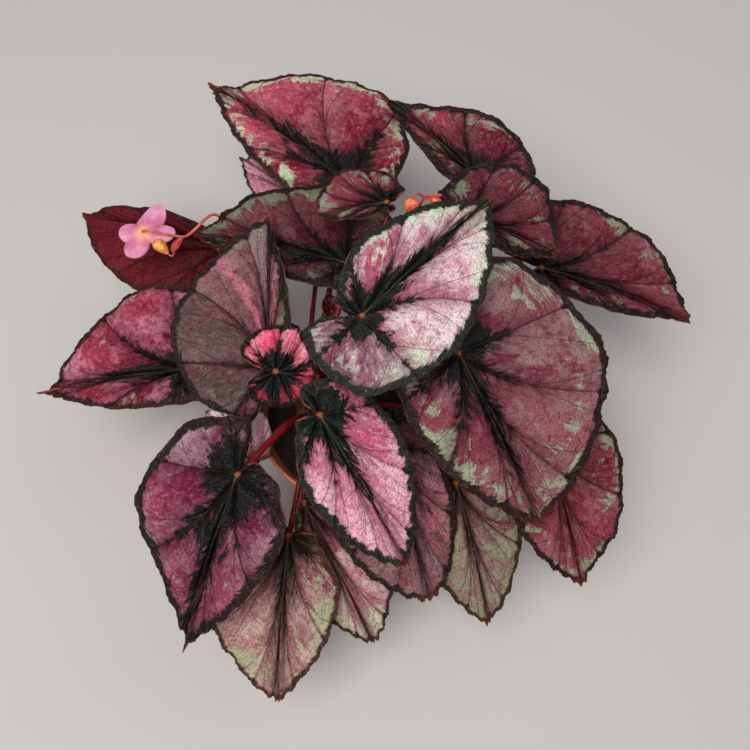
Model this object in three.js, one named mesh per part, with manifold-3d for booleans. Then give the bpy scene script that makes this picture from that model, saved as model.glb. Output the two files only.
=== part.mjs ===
// A potted rex begonia: thin plastic pot, soil, crown, leaf stalks, leaf blades, a flower and its buds.
// Millimetres, +Z up, origin at the centre of the pot's base. The viewer of the reference stands at -Y.
import * as THREE from "three";
import { mergeVertices } from "three/addons/utils/BufferGeometryUtils.js";
import Module from "manifold-3d";

const wasm = await Module();
wasm.setup();

// ---- Pot and soil ----
const RIM_RADIUS = 60;
const BASE_RADIUS = 43;
const POT_HEIGHT = 105;
const POT_WALL = 1.8;
const COLLAR_DEPTH = 14;
const COLLAR_STEP = 2.4;
const FLOOR_THICKNESS = 3;
const EDGE_ROUNDING = 1;
const POT_SIDES = 40;
const SOIL_TOP = 90;
const SOIL_FALL = 2;
const SOIL_FLAT = 44;
const DRAIN_HOLES = 6;
const DRAIN_RADIUS = 5;
const DRAIN_RING = 29;
const UNDER_COLLAR = POT_HEIGHT - COLLAR_DEPTH;
const WALL_SLOPE = (RIM_RADIUS - COLLAR_STEP - BASE_RADIUS) / UNDER_COLLAR;

// ---- Plant ----
const CLEARANCE = 0.3;
const CROWN = new THREE.Vector2(-19, 6);
const CROWN_RADIUS = 17;
const CROWN_HEIGHT = 9;
const CROWN_NARROWING = 0.9;
const CROWN_LUMPS = [0.06, 0.04];
const SMALL_LEAF = 70;
const BLADE_THICKNESS = 0.9;
const STALK_SIDES = 6;
const STALK_STEPS = 8;
const STALK_TAPER = 0.75;
const STALK_ROOT = 78;
const STALK_RISE = 27;
const STALK_SPRING = 0.45;
const STALK_SETTLE = 0.2;
const STALK_SEAT = 0.7;
const RIM_RISE = 66;
const VEINS = 10;
const SEGMENTS_PER_VEIN = 4;
const TOOTH_SHARE = 0.97;
const PLEAT_SHARE = 0.03;
const MARGIN_WAVES = 7;
const RING_SHARES = [0, 0.4, 0.75, 1];

// Front half of a blade's outline, from the tip back to the widest point: share of that stretch of the
// midrib, and how far out as a share of the half width.
const FRONT_OUTLINE = [
  [0.93, 0.07],
  [0.78, 0.32],
  [0.55, 0.66],
  [0.28, 0.91],
  [0, 1],
];
// Basal lobe: share of the way round to the sinus, then the shares of half width and of lobe radius in it.
const LOBE_OUTLINE = [
  [0.35, 0.5, 0.5],
  [0.65, 0, 1],
  [0.88, 0, 0.9],
  [1, 0, 0.55],
];

// Each leaf: where its stalk joins the blade, where its tip is, and for each side of the midrib, looking
// from the stalk to the tip, [half width, lobe radius, angle of the sinus edge from the midrib in degrees,
// where it is widest as a share of the midrib, how full its front half is]. roll lifts the left side in
// degrees, arch bows the midrib up, sag lets the two sides droop, wave is the height of the margin's waves,
// root is [distance from the crown, degrees], stalk is the stalk's radius at the soil, tone is its colour.
const LEAVES = {
  top_left: {
    joint: [-2, 151, 128], tip: [-108, 247, 110], tone: "burgundy",
    left: [34, 28, 160, 0.2, 1.1], right: [84, 38, 145, 0.28, 0.66],
    roll: 4, arch: 0.07, sag: [0.1, 0.2], wave: 1.8, root: [21, 98], stalk: 2.3,
  },
  top_right: {
    joint: [86, 150, 136], tip: [20, 220, 130], tone: "burgundy",
    left: [14, 12, 140, 0.2, 1.0], right: [44, 38, 165, 0.08, 0.56],
    roll: -8, arch: 0.08, sag: [0.4, 0.2], wave: 1.6, root: [21, 62], stalk: 2.2,
  },
  right: {
    joint: [127, 91, 122], tip: [231, 61, 98], tone: "burgundy",
    left: [57, 46, 170, 0.16, 1.5], right: [15, 13, 150, 0.3, 1.1],
    roll: 8, arch: 0.09, sag: [0.2, 0.3], wave: 1.8, root: [21, 36], stalk: 2.2,
  },
  upper_right: {
    joint: [71, 94, 178], tip: [127, 78, 163], tone: "burgundy",
    left: [47, 27, 160, 0.3, 1.9], right: [12, 12, 120, 0.3, 1.8],
    roll: 4, arch: 0.12, sag: [0.15, 0.5], wave: 2, root: [13, 24], stalk: 2.1,
  },
  centre_silver: {
    joint: [10, 24, 200], tip: [87, 103, 190], tone: "silver",
    left: [33, 19, 116, 0.26, 1.2], right: [49, 36, 230, 0.14, 1.05],
    roll: 2, arch: 0.06, sag: [0.12, 0.16], wave: 1.5, root: [6, 25], stalk: 2.4,
  },
  right_large: {
    joint: [64, 13, 172], tip: [113, -80, 130], tone: "burgundy",
    left: [82, 59, 182, 0.22, 1.3], right: [43, 36, 150, 0.2, 1.25],
    roll: 4, arch: 0.09, sag: [0.2, 0.2], wave: 2, root: [13, -6], stalk: 2.6,
  },
  lower_right: {
    joint: [121, -25, 117], tip: [148, -110, 75], tone: "burgundy",
    left: [48, 33, 160, 0.2, 1.3], right: [34, 26, 160, 0.2, 1.5],
    roll: 0, arch: 0.08, sag: [0.2, 0.2], wave: 1.7, root: [21, -8], stalk: 2.3,
  },
  lower_olive: {
    joint: [67, -50, 109], tip: [91, -134, 58], tone: "olive",
    left: [37, 26, 160, 0.2, 1.2], right: [31, 26, 160, 0.2, 1.5],
    roll: 0, arch: 0.08, sag: [0.2, 0.2], wave: 1.6, root: [21, -30], stalk: 2.2,
  },
  lower_middle: {
    joint: [20, -27, 130], tip: [52, -120, 85], tone: "rose",
    left: [33, 22, 150, 0.3, 1.8], right: [45, 30, 170, 0.3, 1.7],
    roll: -4, arch: 0.08, sag: [0.2, 0.2], wave: 1.6, root: [13, -45], stalk: 2.3,
  },
  front_pink: {
    joint: [-13, -24, 175], tip: [36, -102, 132], tone: "pink",
    left: [34, 19, 205, 0.24, 1.2], right: [29, 15, 112, 0.28, 1.6],
    roll: 0, arch: 0.1, sag: [0.2, 0.2], wave: 1.5, root: [6, -95], stalk: 2.2,
  },
  front_left: {
    joint: [-60, -53, 155], tip: [-96, -148, 98], tone: "burgundy",
    left: [37, 14, 155, 0.2, 1.0], right: [57, 34, 182, 0.26, 0.45],
    roll: 4, arch: 0.08, sag: [0.2, 0.2], wave: 2, root: [13, -125], stalk: 2.5,
  },
  bottom: {
    joint: [-35, -82, 114], tip: [-45, -181, 56], tone: "olive",
    left: [34, 18, 104, 0.28, 1.2], right: [52, 30, 150, 0.3, 1.15],
    roll: 0, arch: 0.08, sag: [0.2, 0.2], wave: 1.7, root: [21, -100], stalk: 2.3,
  },
  bottom_middle: {
    joint: [-26, -63, 117], tip: [17, -146, 50], tone: "rose",
    left: [38, 16, 140, 0.3, 1.4], right: [24, 6, 95, 0.45, 1.2],
    roll: 0, arch: 0.07, sag: [0.2, 0.2], wave: 1.6, root: [21, -74], stalk: 2.1,
  },
  left: {
    joint: [-101, 22, 118], tip: [-209, 13, 90], tone: "magenta",
    left: [23, 20, 150, 0.2, 1], right: [65, 44, 168, 0.28, 0.55],
    roll: -3, arch: 0.08, sag: [0.25, 0.2], wave: 2, root: [21, 172], stalk: 2.3,
  },
  left_upper: {
    joint: [-46, 11, 152], tip: [-49, 112, 158], tone: "rose",
    left: [59, 37, 172, 0.2, 1.0], right: [14, 13, 125, 0.2, 0.8],
    roll: 4, arch: 0.06, sag: [0.2, -0.5], wave: 1.8, root: [13, 160], stalk: 2.4,
  },
  young_red: {
    joint: [-38, 1, 176], tip: [-14, -2, 173], tone: "crimson",
    left: [27, 25, 172, 0.2, 1.4], right: [18, 19, 158, 0.2, 1.8],
    roll: 0, arch: 0, sag: [-0.2, 0.7], wave: 1.6, root: [6, -155], stalk: 1.8,
  },
  back_left: {
    joint: [0, 81, 148], tip: [-106, 111, 128], tone: "burgundy",
    left: [21, 16, 150, 0.2, 1.0], right: [59, 43, 168, 0.26, 1.15],
    roll: 4, arch: 0.07, sag: [0.2, 0.2], wave: 1.8, root: [13, 90], stalk: 2.2,
  },
  small_top: {
    joint: [24, 110, 172], tip: [-20, 106, 162], tone: "burgundy",
    left: [9, 7, 150, 0.4, 1.7], right: [30, 16, 155, 0.45, 2.6],
    roll: 0, arch: 0.08, sag: [0.2, 0.2], wave: 1.2, root: [13, 62], stalk: 1.7,
  },
  back_pink: {
    joint: [-22, 138, 108], tip: [-84, 195, 94], tone: "pink",
    left: [24, 18, 150, 0.2, 1.2], right: [24, 18, 150, 0.2, 1.2],
    roll: 0, arch: 0.07, sag: [0.2, 0.2], wave: 1.4, root: [21, 114], stalk: 1.9,
  },
  dark_red: {
    joint: [-91, 112, 107], tip: [-198, 148, 83], tone: "wine",
    left: [45, 30, 122, 0.3, 1.25], right: [19, 16, 165, 0.4, 1.5],
    roll: 0, arch: 0.06, sag: [0.2, 0.2], wave: 1.6, root: [21, 142], stalk: 2.1,
  },
  pale_small: {
    joint: [-56, -37, 114], tip: [-89, -6, 120], tone: "silver",
    left: [20, 14, 150, 0.2, 1.2], right: [24, 10, 120, 0.35, 1.2],
    roll: 0, arch: 0.07, sag: [0.2, 0.2], wave: 1.2, root: [21, -150], stalk: 1.8,
  },
  sprout: {
    joint: [-11, 60, 120], tip: [-14, 72, 124], tone: "crimson",
    left: [6, 5, 140, 0.3, 1.2], right: [6, 5, 140, 0.3, 1.2],
    roll: 0, arch: 0.05, sag: [-0.3, -0.3], wave: 0.6, root: [21, 80], stalk: 1.4,
  },
};

// ---- Flower and buds ----
const FLOWER_STALK = [
  [-41, 19, 78], [-41, 20, 98], [-45, 34, 114], [-54, 66, 119], [-66, 98, 117], [-80, 123, 119],
  [-89, 127, 127.5], [-94, 121.5, 133.5], [-100, 112.5, 135.2], [-106, 106, 136.5], [-112, 104.2, 140.5],
  [-120, 104, 144.5], [-127, 104.7, 146.3], [-130.5, 105.4, 145.2], [-132.3, 105.9, 143],
];
const FLOWER_STALK_RADIUS = 1.3;
const FLOWER_STALK_STEPS = 22;
const TWIG_STEPS = 4;
const FLOWER_TURNS = [63, 185, 249, 0];
const TEPAL_LENGTHS = [19, 14.5, 15.5, 18.5];
const TEPAL_WIDTHS = [13, 10, 11, 9.5];
const TEPAL_FALL = 0.08;
const TEPAL_ROOT = 1.5;
const PETAL_THICKNESS = 0.8;
const PETAL_CUP = 0.25;
const TEPAL_CUP = -0.25;
const PETAL_BASE = 0.75;
const PETAL_FLARE = 0.35;
const FLOWER_MIDDLE_RADIUS = 1.8;
const STAMENS_RADIUS = 2.6;
const FLOWER_BUD_BRANCH = [
  [-108, 105.3, 137.5], [-112, 98, 138], [-112.5, 93, 137], [-113.8, 91.6, 136.8], [-115.5, 92.6, 137.4],
];
const FLOWER_BUD_RADIUS = 4.6;
const FLOWER_BRACT = { joint: [-108, 105.3, 137.5], tip: [-113, 93.5, 139], half: 2.4 };
const BUD_STALK = [
  [-10, 15, 78], [-10, 16, 100], [-2, 30, 130], [18, 66, 152], [38, 98, 168], [46, 107, 182],
];
const BUD_BRANCHES = [
  [[46, 107, 181], [42, 107, 186], [39.3, 105.5, 185.6], [38.8, 104.6, 184.8]],
  [[46, 107, 181], [46.5, 104, 184.5], [48.5, 102.6, 184.1], [50, 102.1, 183.9]],
];
const BUD_RADII = [4, 3];
const BUD_FOOT = { wide: 1.1, long: 1, deep: 0.9 };
const BUD_CHANGE = { wide: -0.5, long: 0.35, deep: -0.3 };
const BUD_BRACT = { joint: [45, 106.5, 181], tip: [55.5, 108.5, 186], half: 1.6 };

const COLOURS = {
  pot: 0xd9704a,
  soil: 0x1c1512,
  crown: 0x6a4a34,
  stalk: 0x6d1420,
  tepal: 0xe9809f,
  bud: 0xe05a35,
  stamen: 0xf0a030,
};
const BLADE_COLOURS = {
  silver: 0xc9a3ac,
  pink: 0xc25f88,
  rose: 0x94566a,
  burgundy: 0x6f2440,
  magenta: 0x8a1f45,
  crimson: 0xb01838,
  olive: 0x75605a,
  wine: 0x6b1526,
};

const finish = (colour, roughness) =>
  new THREE.MeshStandardMaterial({ color: colour, roughness, metalness: 0, side: THREE.DoubleSide });

const part = new THREE.Group();

function add(name, geometry, colour, roughness = 0.6) {
  const mesh = new THREE.Mesh(geometry, finish(colour, roughness));
  mesh.name = name;
  part.add(mesh);
}

// ---- Closed solids ----

// Position only, shared vertices merged, and triangles that collapsed at a pole dropped.
function welded(geometry) {
  const bare = new THREE.BufferGeometry();
  bare.setAttribute("position", geometry.getAttribute("position"));
  bare.setIndex(geometry.getIndex());
  const merged = mergeVertices(bare, 1e-4);
  const kept = [];
  const index = merged.getIndex().array;
  for (let i = 0; i < index.length; i += 3) {
    const [a, b, c] = index.subarray(i, i + 3);
    if (a !== b && b !== c && c !== a) kept.push(a, b, c);
  }
  merged.setIndex(kept);
  return merged;
}

function toSolid(geometry) {
  const closed = welded(geometry);
  return new wasm.Manifold(
    new wasm.Mesh({
      numProp: 3,
      vertProperties: new Float32Array(closed.getAttribute("position").array),
      triVerts: new Uint32Array(closed.getIndex().array),
    }),
  );
}

function toGeometry(solid) {
  const mesh = solid.getMesh();
  const geometry = new THREE.BufferGeometry();
  geometry.setAttribute("position", new THREE.BufferAttribute(mesh.vertProperties, 3));
  geometry.setIndex(new THREE.BufferAttribute(mesh.triVerts, 1));
  return geometry;
}

// An open sheet given a wall of even thickness: both faces are split alike, and its edges are closed.
function thickened(sheet, thickness) {
  const skin = welded(sheet);
  skin.computeVertexNormals();
  const points = skin.getAttribute("position");
  const normals = skin.getAttribute("normal");
  const index = [...skin.getIndex().array];
  const count = points.count;
  const position = new Float32Array(count * 6);
  const p = new THREE.Vector3();
  const n = new THREE.Vector3();
  for (let i = 0; i < count; i += 1) {
    p.fromBufferAttribute(points, i);
    n.fromBufferAttribute(normals, i);
    p.addScaledVector(n, thickness / 2).toArray(position, i * 3);
    p.addScaledVector(n, -thickness).toArray(position, (count + i) * 3);
  }
  const faces = [...index];
  const edges = new Map();
  for (let i = 0; i < index.length; i += 3) {
    const corner = index.slice(i, i + 3);
    faces.push(corner[2] + count, corner[1] + count, corner[0] + count);
    for (let k = 0; k < 3; k += 1) {
      edges.set(`${corner[k]}_${corner[(k + 1) % 3]}`, [corner[k], corner[(k + 1) % 3]]);
    }
  }
  for (const [a, b] of edges.values()) {
    if (!edges.has(`${b}_${a}`)) faces.push(b, a, a + count, b, a + count, b + count);
  }
  const geometry = new THREE.BufferGeometry();
  geometry.setAttribute("position", new THREE.BufferAttribute(position, 3));
  geometry.setIndex(faces);
  return geometry;
}

// A cylinder laid along a curve, tapered from one radius to the other, with flat closed ends.
function tapered(curve, startRadius, endRadius, steps = STALK_STEPS, sides = STALK_SIDES) {
  const rod = new THREE.CylinderGeometry(1, 1, 1, sides, steps);
  const frames = curve.computeFrenetFrames(steps, false);
  const points = rod.getAttribute("position");
  const p = new THREE.Vector3();
  for (let i = 0; i < points.count; i += 1) {
    const share = points.getY(i) + 0.5;
    const step = Math.round(share * steps);
    const radius = startRadius + (endRadius - startRadius) * share;
    p.copy(curve.getPointAt(share));
    p.addScaledVector(frames.normals[step], points.getX(i) * radius);
    p.addScaledVector(frames.binormals[step], -points.getZ(i) * radius);
    points.setXYZ(i, p.x, p.y, p.z);
  }
  return rod;
}

// ---- Leaf blades ----

function sideOutline([half, lobe, sinus, widest, full], length, sign) {
  const points = FRONT_OUTLINE.map(([share, out]) =>
    new THREE.Vector2((widest + (1 - widest) * share) * length, sign * half * out ** (1 / full)));
  const start = Math.atan2(half, widest * length);
  const end = THREE.MathUtils.degToRad(sinus);
  for (const [share, ofHalf, ofLobe] of LOBE_OUTLINE) {
    const angle = start + (end - start) * share;
    const radius = half * ofHalf + lobe * ofLobe;
    points.push(new THREE.Vector2(radius * Math.cos(angle), sign * radius * Math.sin(angle)));
  }
  return points;
}

// The blade's own axes: along the midrib, out to the left and up, turned by its roll.
function bladeFrame(leaf) {
  const joint = new THREE.Vector3(...leaf.joint);
  const along = new THREE.Vector3(...leaf.tip).sub(joint);
  const length = along.length();
  along.normalize();
  const up = new THREE.Vector3(0, 0, 1).addScaledVector(along, -along.z).normalize();
  up.applyAxisAngle(along, THREE.MathUtils.degToRad(leaf.roll));
  const left = new THREE.Vector3().crossVectors(up, along);
  return { joint, along, left, up, length };
}

function bladeOutline(leaf, length) {
  const right = sideOutline(leaf.right, length, -1).reverse();
  const left = sideOutline(leaf.left, length, 1);
  return new THREE.SplineCurve([...right, new THREE.Vector2(length, 0), ...left]);
}

// Height of the blade above its own flat plane: bowed along the midrib, drooping to both sides, sunk along
// its veins and waved towards its margin.
function bladeRise(leaf, length, x, y, round, share) {
  const along = x / length;
  const half = y > 0 ? leaf.left[0] : leaf.right[0];
  const sag = y > 0 ? leaf.sag[0] : leaf.sag[1];
  const bow = leaf.arch * length * 4 * along * (along > 0 ? 1 - along : 1);
  const droop = sag * y * y / half;
  const pleat = PLEAT_SHARE * length * Math.cos(2 * Math.PI * VEINS * round) * (1 - share) * share;
  const wave = leaf.wave * Math.sin(2 * Math.PI * MARGIN_WAVES * round + length) * share ** 3;
  return bow - droop - pleat + wave;
}

function bladeSheet(leaf) {
  const { joint, along, left, up, length } = bladeFrame(leaf);
  const segments = VEINS * (length > SMALL_LEAF ? SEGMENTS_PER_VEIN : SEGMENTS_PER_VEIN / 2);
  const outline = bladeOutline(leaf, length);
  const rings = RING_SHARES.length - 1;
  const sheet = new THREE.PlaneGeometry(1, 1, segments, rings);
  const points = sheet.getAttribute("position");
  const p = new THREE.Vector3();
  for (let i = 0; i < points.count; i += 1) {
    const round = points.getX(i) + 0.5;
    const share = RING_SHARES[Math.round((points.getY(i) + 0.5) * rings)];
    const tooth = Math.round(round * segments) % 2 ? 1 : TOOTH_SHARE;
    const edge = outline.getPoint(round).multiplyScalar(share === 1 ? tooth : share);
    const rise = bladeRise(leaf, length, edge.x, edge.y, round, share);
    p.copy(joint).addScaledVector(along, edge.x).addScaledVector(left, edge.y);
    p.addScaledVector(up, rise);
    points.setXYZ(i, p.x, p.y, p.z);
  }
  return sheet;
}

// ---- Leaf stalks ----

const rootPoint = ([distance, degrees], height) => {
  const angle = THREE.MathUtils.degToRad(degrees);
  return new THREE.Vector3(
    CROWN.x + distance * Math.cos(angle), CROWN.y + distance * Math.sin(angle), height);
};

// A stalk rises straight out of the soil, clears the pot's rim and meets its blade's underside squarely.
function stalkCurve(leaf) {
  const { joint, up } = bladeFrame(leaf);
  const seat = BLADE_THICKNESS / 2 + STALK_SEAT;
  const end = joint.clone().addScaledVector(up, -seat);
  const start = rootPoint(leaf.root, STALK_ROOT);
  const reach = start.distanceTo(end);
  const rise = Math.min(STALK_RISE + STALK_SPRING * reach, Math.max(RIM_RISE, end.z - start.z));
  const lift = start.clone().add(new THREE.Vector3(0, 0, rise));
  const turn = end.clone().addScaledVector(up, -STALK_SETTLE * reach);
  return new THREE.CubicBezierCurve3(start, lift, turn, end);
}

const stalks = Object.entries(LEAVES).map(([name, leaf]) => ({
  name, curve: stalkCurve(leaf), radius: leaf.stalk,
}));

const throughPoints = (list) =>
  new THREE.CatmullRomCurve3(list.map((point) => new THREE.Vector3(...point)));

// ---- Pot ----

// A lathed profile runs about Y: this stands it up on Z.
const upright = (geometry) => geometry.rotateX(Math.PI / 2);

// A thin tapered wall with a wider collar round the rim, on a flat floor with a ring of drain holes.
function potBody() {
  const at = (radius, height) => new THREE.Vector2(radius, height);
  const shoulder = BASE_RADIUS + WALL_SLOPE * UNDER_COLLAR;
  const profile = [
    at(0, 0),
    at(BASE_RADIUS - EDGE_ROUNDING, 0),
    at(BASE_RADIUS, EDGE_ROUNDING),
    at(shoulder, UNDER_COLLAR),
    at(RIM_RADIUS - EDGE_ROUNDING, UNDER_COLLAR),
    at(RIM_RADIUS, POT_HEIGHT - EDGE_ROUNDING),
    at(RIM_RADIUS - EDGE_ROUNDING, POT_HEIGHT),
    at(RIM_RADIUS - POT_WALL, POT_HEIGHT),
    at(RIM_RADIUS - POT_WALL - EDGE_ROUNDING, UNDER_COLLAR + POT_WALL),
    at(shoulder - POT_WALL, UNDER_COLLAR - POT_WALL),
    at(BASE_RADIUS - POT_WALL, FLOOR_THICKNESS),
    at(0, FLOOR_THICKNESS),
  ];
  let pot = toSolid(upright(new THREE.LatheGeometry(profile, POT_SIDES)));
  for (let i = 0; i < DRAIN_HOLES; i += 1) {
    const hole = new THREE.CylinderGeometry(DRAIN_RADIUS, DRAIN_RADIUS, 4 * FLOOR_THICKNESS, 8);
    hole.rotateX(Math.PI / 2);
    const angle = (2 * Math.PI * i) / DRAIN_HOLES;
    hole.translate(DRAIN_RING * Math.cos(angle), DRAIN_RING * Math.sin(angle), 0);
    pot = pot.subtract(toSolid(hole));
  }
  return pot;
}

// ---- Soil and crown ----

// Every stalk that stands in the soil, as its curve and its radius at the foot.
const flowerCurve = throughPoints(FLOWER_STALK);
const budCurve = throughPoints(BUD_STALK);
const standing = [
  ...stalks,
  { curve: flowerCurve, radius: FLOWER_STALK_RADIUS, steps: FLOWER_STALK_STEPS },
  { curve: budCurve, radius: FLOWER_STALK_RADIUS, steps: FLOWER_STALK_STEPS },
];

// Plain holes round the stalks.
function pierced(solid) {
  return standing.reduce(
    (rest, { curve, radius, steps }) =>
      rest.subtract(toSolid(tapered(curve, radius + CLEARANCE, radius * STALK_TAPER + CLEARANCE, steps))),
    solid,
  );
}

const largestBody = (solid) =>
  solid.decompose().reduce((most, body) => (body.volume() > most.volume() ? body : most));

function soilBody() {
  const floor = FLOOR_THICKNESS + CLEARANCE;
  const inner = BASE_RADIUS - POT_WALL - 2 * CLEARANCE;
  const edge = SOIL_TOP - SOIL_FALL;
  const profile = [
    new THREE.Vector2(0, floor),
    new THREE.Vector2(inner, floor),
    new THREE.Vector2(inner + WALL_SLOPE * (edge - FLOOR_THICKNESS), edge),
    new THREE.Vector2(SOIL_FLAT, SOIL_TOP),
    new THREE.Vector2(0, SOIL_TOP),
  ];
  return pierced(toSolid(upright(new THREE.LatheGeometry(profile, POT_SIDES))));
}

// The short knobbly stem that the stalks grow from, lying on the soil.
function crownBody() {
  const knob = new THREE.SphereGeometry(1, 16, 10);
  const [broad, fine] = CROWN_LUMPS;
  const points = knob.getAttribute("position");
  for (let i = 0; i < points.count; i += 1) {
    const [x, y, z] = [points.getX(i), points.getY(i), points.getZ(i)];
    const lump = 1 + broad * Math.sin(5 * x + 2) * Math.cos(6 * y) + fine * Math.sin(9 * z);
    points.setXYZ(
      i,
      CROWN.x + x * CROWN_RADIUS * lump,
      CROWN.y + y * CROWN_RADIUS * CROWN_NARROWING * lump,
      SOIL_TOP + z * CROWN_HEIGHT * lump,
    );
  }
  const below = new THREE.BoxGeometry(2 * RIM_RADIUS, 2 * RIM_RADIUS, SOIL_TOP);
  below.translate(0, 0, SOIL_TOP / 2 + CLEARANCE);
  return largestBody(pierced(toSolid(knob).subtract(toSolid(below))));
}

// ---- Flower ----

// An oval petal from one point to another, broader towards its end and cupped a little.
function petal(from, to, halfWidth, cup = PETAL_CUP) {
  const sheet = new THREE.RingGeometry(0, 1, 10, 2);
  const points = sheet.getAttribute("position");
  const along = to.clone().sub(from);
  const length = along.length();
  along.normalize();
  const left = new THREE.Vector3(0, 0, 1).cross(along).normalize();
  const up = new THREE.Vector3().crossVectors(along, left);
  for (let i = 0; i < points.count; i += 1) {
    const share = (points.getX(i) + 1) / 2;
    const across = points.getY(i) * halfWidth * (PETAL_BASE + PETAL_FLARE * share);
    const rise = cup * (across * across / halfWidth - 2 * share * (1 - share));
    const p = from.clone().addScaledVector(along, share * length);
    p.addScaledVector(left, across).addScaledVector(up, rise);
    points.setXYZ(i, p.x, p.y, p.z);
  }
  return thickened(sheet, PETAL_THICKNESS);
}

const fused = (geometries) =>
  geometries.map(toSolid).reduce((whole, piece) => whole.add(piece));

// The open flower nods: its stalk comes down onto its back, and its stamens hang below the middle.
const flowerCentre = flowerCurve
  .getPoint(1)
  .addScaledVector(flowerCurve.getTangent(1), FLOWER_MIDDLE_RADIUS + CLEARANCE);

function tepals() {
  const pieces = FLOWER_TURNS.map((degrees, i) => {
    const angle = THREE.MathUtils.degToRad(degrees);
    const out = new THREE.Vector3(Math.cos(angle), Math.sin(angle), -TEPAL_FALL);
    const from = flowerCentre.clone().addScaledVector(out, -TEPAL_ROOT);
    const to = flowerCentre.clone().addScaledVector(out, TEPAL_LENGTHS[i]);
    return petal(from, to, TEPAL_WIDTHS[i] / 2, TEPAL_CUP);
  });
  const middle = new THREE.SphereGeometry(FLOWER_MIDDLE_RADIUS, 8, 6);
  middle.translate(...flowerCentre.toArray());
  return fused([...pieces, middle]);
}

function stamens() {
  const cluster = new THREE.IcosahedronGeometry(STAMENS_RADIUS, 1);
  const drop = FLOWER_MIDDLE_RADIUS + CLEARANCE + STAMENS_RADIUS;
  cluster.translate(flowerCentre.x, flowerCentre.y, flowerCentre.z - drop);
  return cluster;
}

// A closed bud: an egg that hangs on its branch, drawn out to a small point.
function bud(curve, radius) {
  const tip = curve.getPoint(1);
  const way = curve.getTangent(1);
  const egg = new THREE.SphereGeometry(radius, 12, 8);
  const points = egg.getAttribute("position");
  const p = new THREE.Vector3();
  for (let i = 0; i < points.count; i += 1) {
    p.fromBufferAttribute(points, i);
    const share = (p.y / radius + 1) / 2;
    points.setXYZ(
      i,
      p.x * (BUD_FOOT.wide + BUD_CHANGE.wide * share ** 2),
      p.y * (BUD_FOOT.long + BUD_CHANGE.long * share),
      p.z * (BUD_FOOT.deep + BUD_CHANGE.deep * share),
    );
  }
  egg.applyQuaternion(new THREE.Quaternion().setFromUnitVectors(new THREE.Vector3(0, 1, 0), way));
  egg.translate(...tip.clone().addScaledVector(way, radius + CLEARANCE).toArray());
  return egg;
}

const bract = ({ joint, tip, half }) =>
  petal(new THREE.Vector3(...joint), new THREE.Vector3(...tip), half);

const flowerBranch = throughPoints(FLOWER_BUD_BRANCH);
const budBranches = BUD_BRANCHES.map(throughPoints);

// A flower stem with its side twigs and its bract, in one piece.
function flowerStem(curve, twigs, leafyBract) {
  const end = FLOWER_STALK_RADIUS * STALK_TAPER;
  const stem = tapered(curve, FLOWER_STALK_RADIUS, end, FLOWER_STALK_STEPS);
  const sides = twigs.map((twig) => tapered(twig, end, end * STALK_TAPER, TWIG_STEPS));
  return toGeometry(fused([stem, ...sides, bract(leafyBract)]));
}

// ---- The whole plant in its pot ----

add("pot", toGeometry(potBody()), COLOURS.pot, 0.45);
add("soil", toGeometry(soilBody()), COLOURS.soil, 1);
add("crown", toGeometry(crownBody()), COLOURS.crown, 0.8);
for (const [name, leaf] of Object.entries(LEAVES)) {
  add(`blade_${name}`, thickened(bladeSheet(leaf), BLADE_THICKNESS), BLADE_COLOURS[leaf.tone], 0.5);
}
for (const { name, curve, radius } of stalks) {
  add(`stalk_${name}`, tapered(curve, radius, radius * STALK_TAPER), COLOURS.stalk, 0.5);
}
add("flower_stalk", flowerStem(flowerCurve, [flowerBranch], FLOWER_BRACT), COLOURS.stalk, 0.5);
add("flower_tepals", toGeometry(tepals()), COLOURS.tepal, 0.5);
add("flower_stamens", stamens(), COLOURS.stamen, 0.6);
add("flower_bud", bud(flowerBranch, FLOWER_BUD_RADIUS), COLOURS.stamen, 0.5);
add("bud_stalk", flowerStem(budCurve, budBranches, BUD_BRACT), COLOURS.stalk, 0.5);
budBranches.forEach((curve, i) => add(`bud_${i + 1}`, bud(curve, BUD_RADII[i]), COLOURS.bud, 0.5));

export default part;
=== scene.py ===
"""The looks of a rex begonia in its pot: fine leaf blades with their veins, quilting, blotches and hairy
margins, hairy stalks, the small pink flower, crumbly soil and the moulded pot. Tables are in millimetres."""

import math
import random

import bmesh
import bpy
from mathutils import Matrix, Quaternion, Vector, noise


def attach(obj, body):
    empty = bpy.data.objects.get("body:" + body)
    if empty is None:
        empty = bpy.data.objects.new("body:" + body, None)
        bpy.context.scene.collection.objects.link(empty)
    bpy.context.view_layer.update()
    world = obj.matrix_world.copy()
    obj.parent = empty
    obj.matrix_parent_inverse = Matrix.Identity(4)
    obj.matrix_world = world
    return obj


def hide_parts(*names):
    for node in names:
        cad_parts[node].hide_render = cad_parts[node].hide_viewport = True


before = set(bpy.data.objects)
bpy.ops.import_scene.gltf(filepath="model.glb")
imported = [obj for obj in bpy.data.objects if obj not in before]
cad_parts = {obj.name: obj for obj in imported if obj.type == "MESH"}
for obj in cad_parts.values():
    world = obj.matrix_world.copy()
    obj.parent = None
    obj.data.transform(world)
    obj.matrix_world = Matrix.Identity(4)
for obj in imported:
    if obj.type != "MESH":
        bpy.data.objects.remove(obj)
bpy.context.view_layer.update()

MM = 0.001

# ---- Sizes shared with the part's source ----

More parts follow.
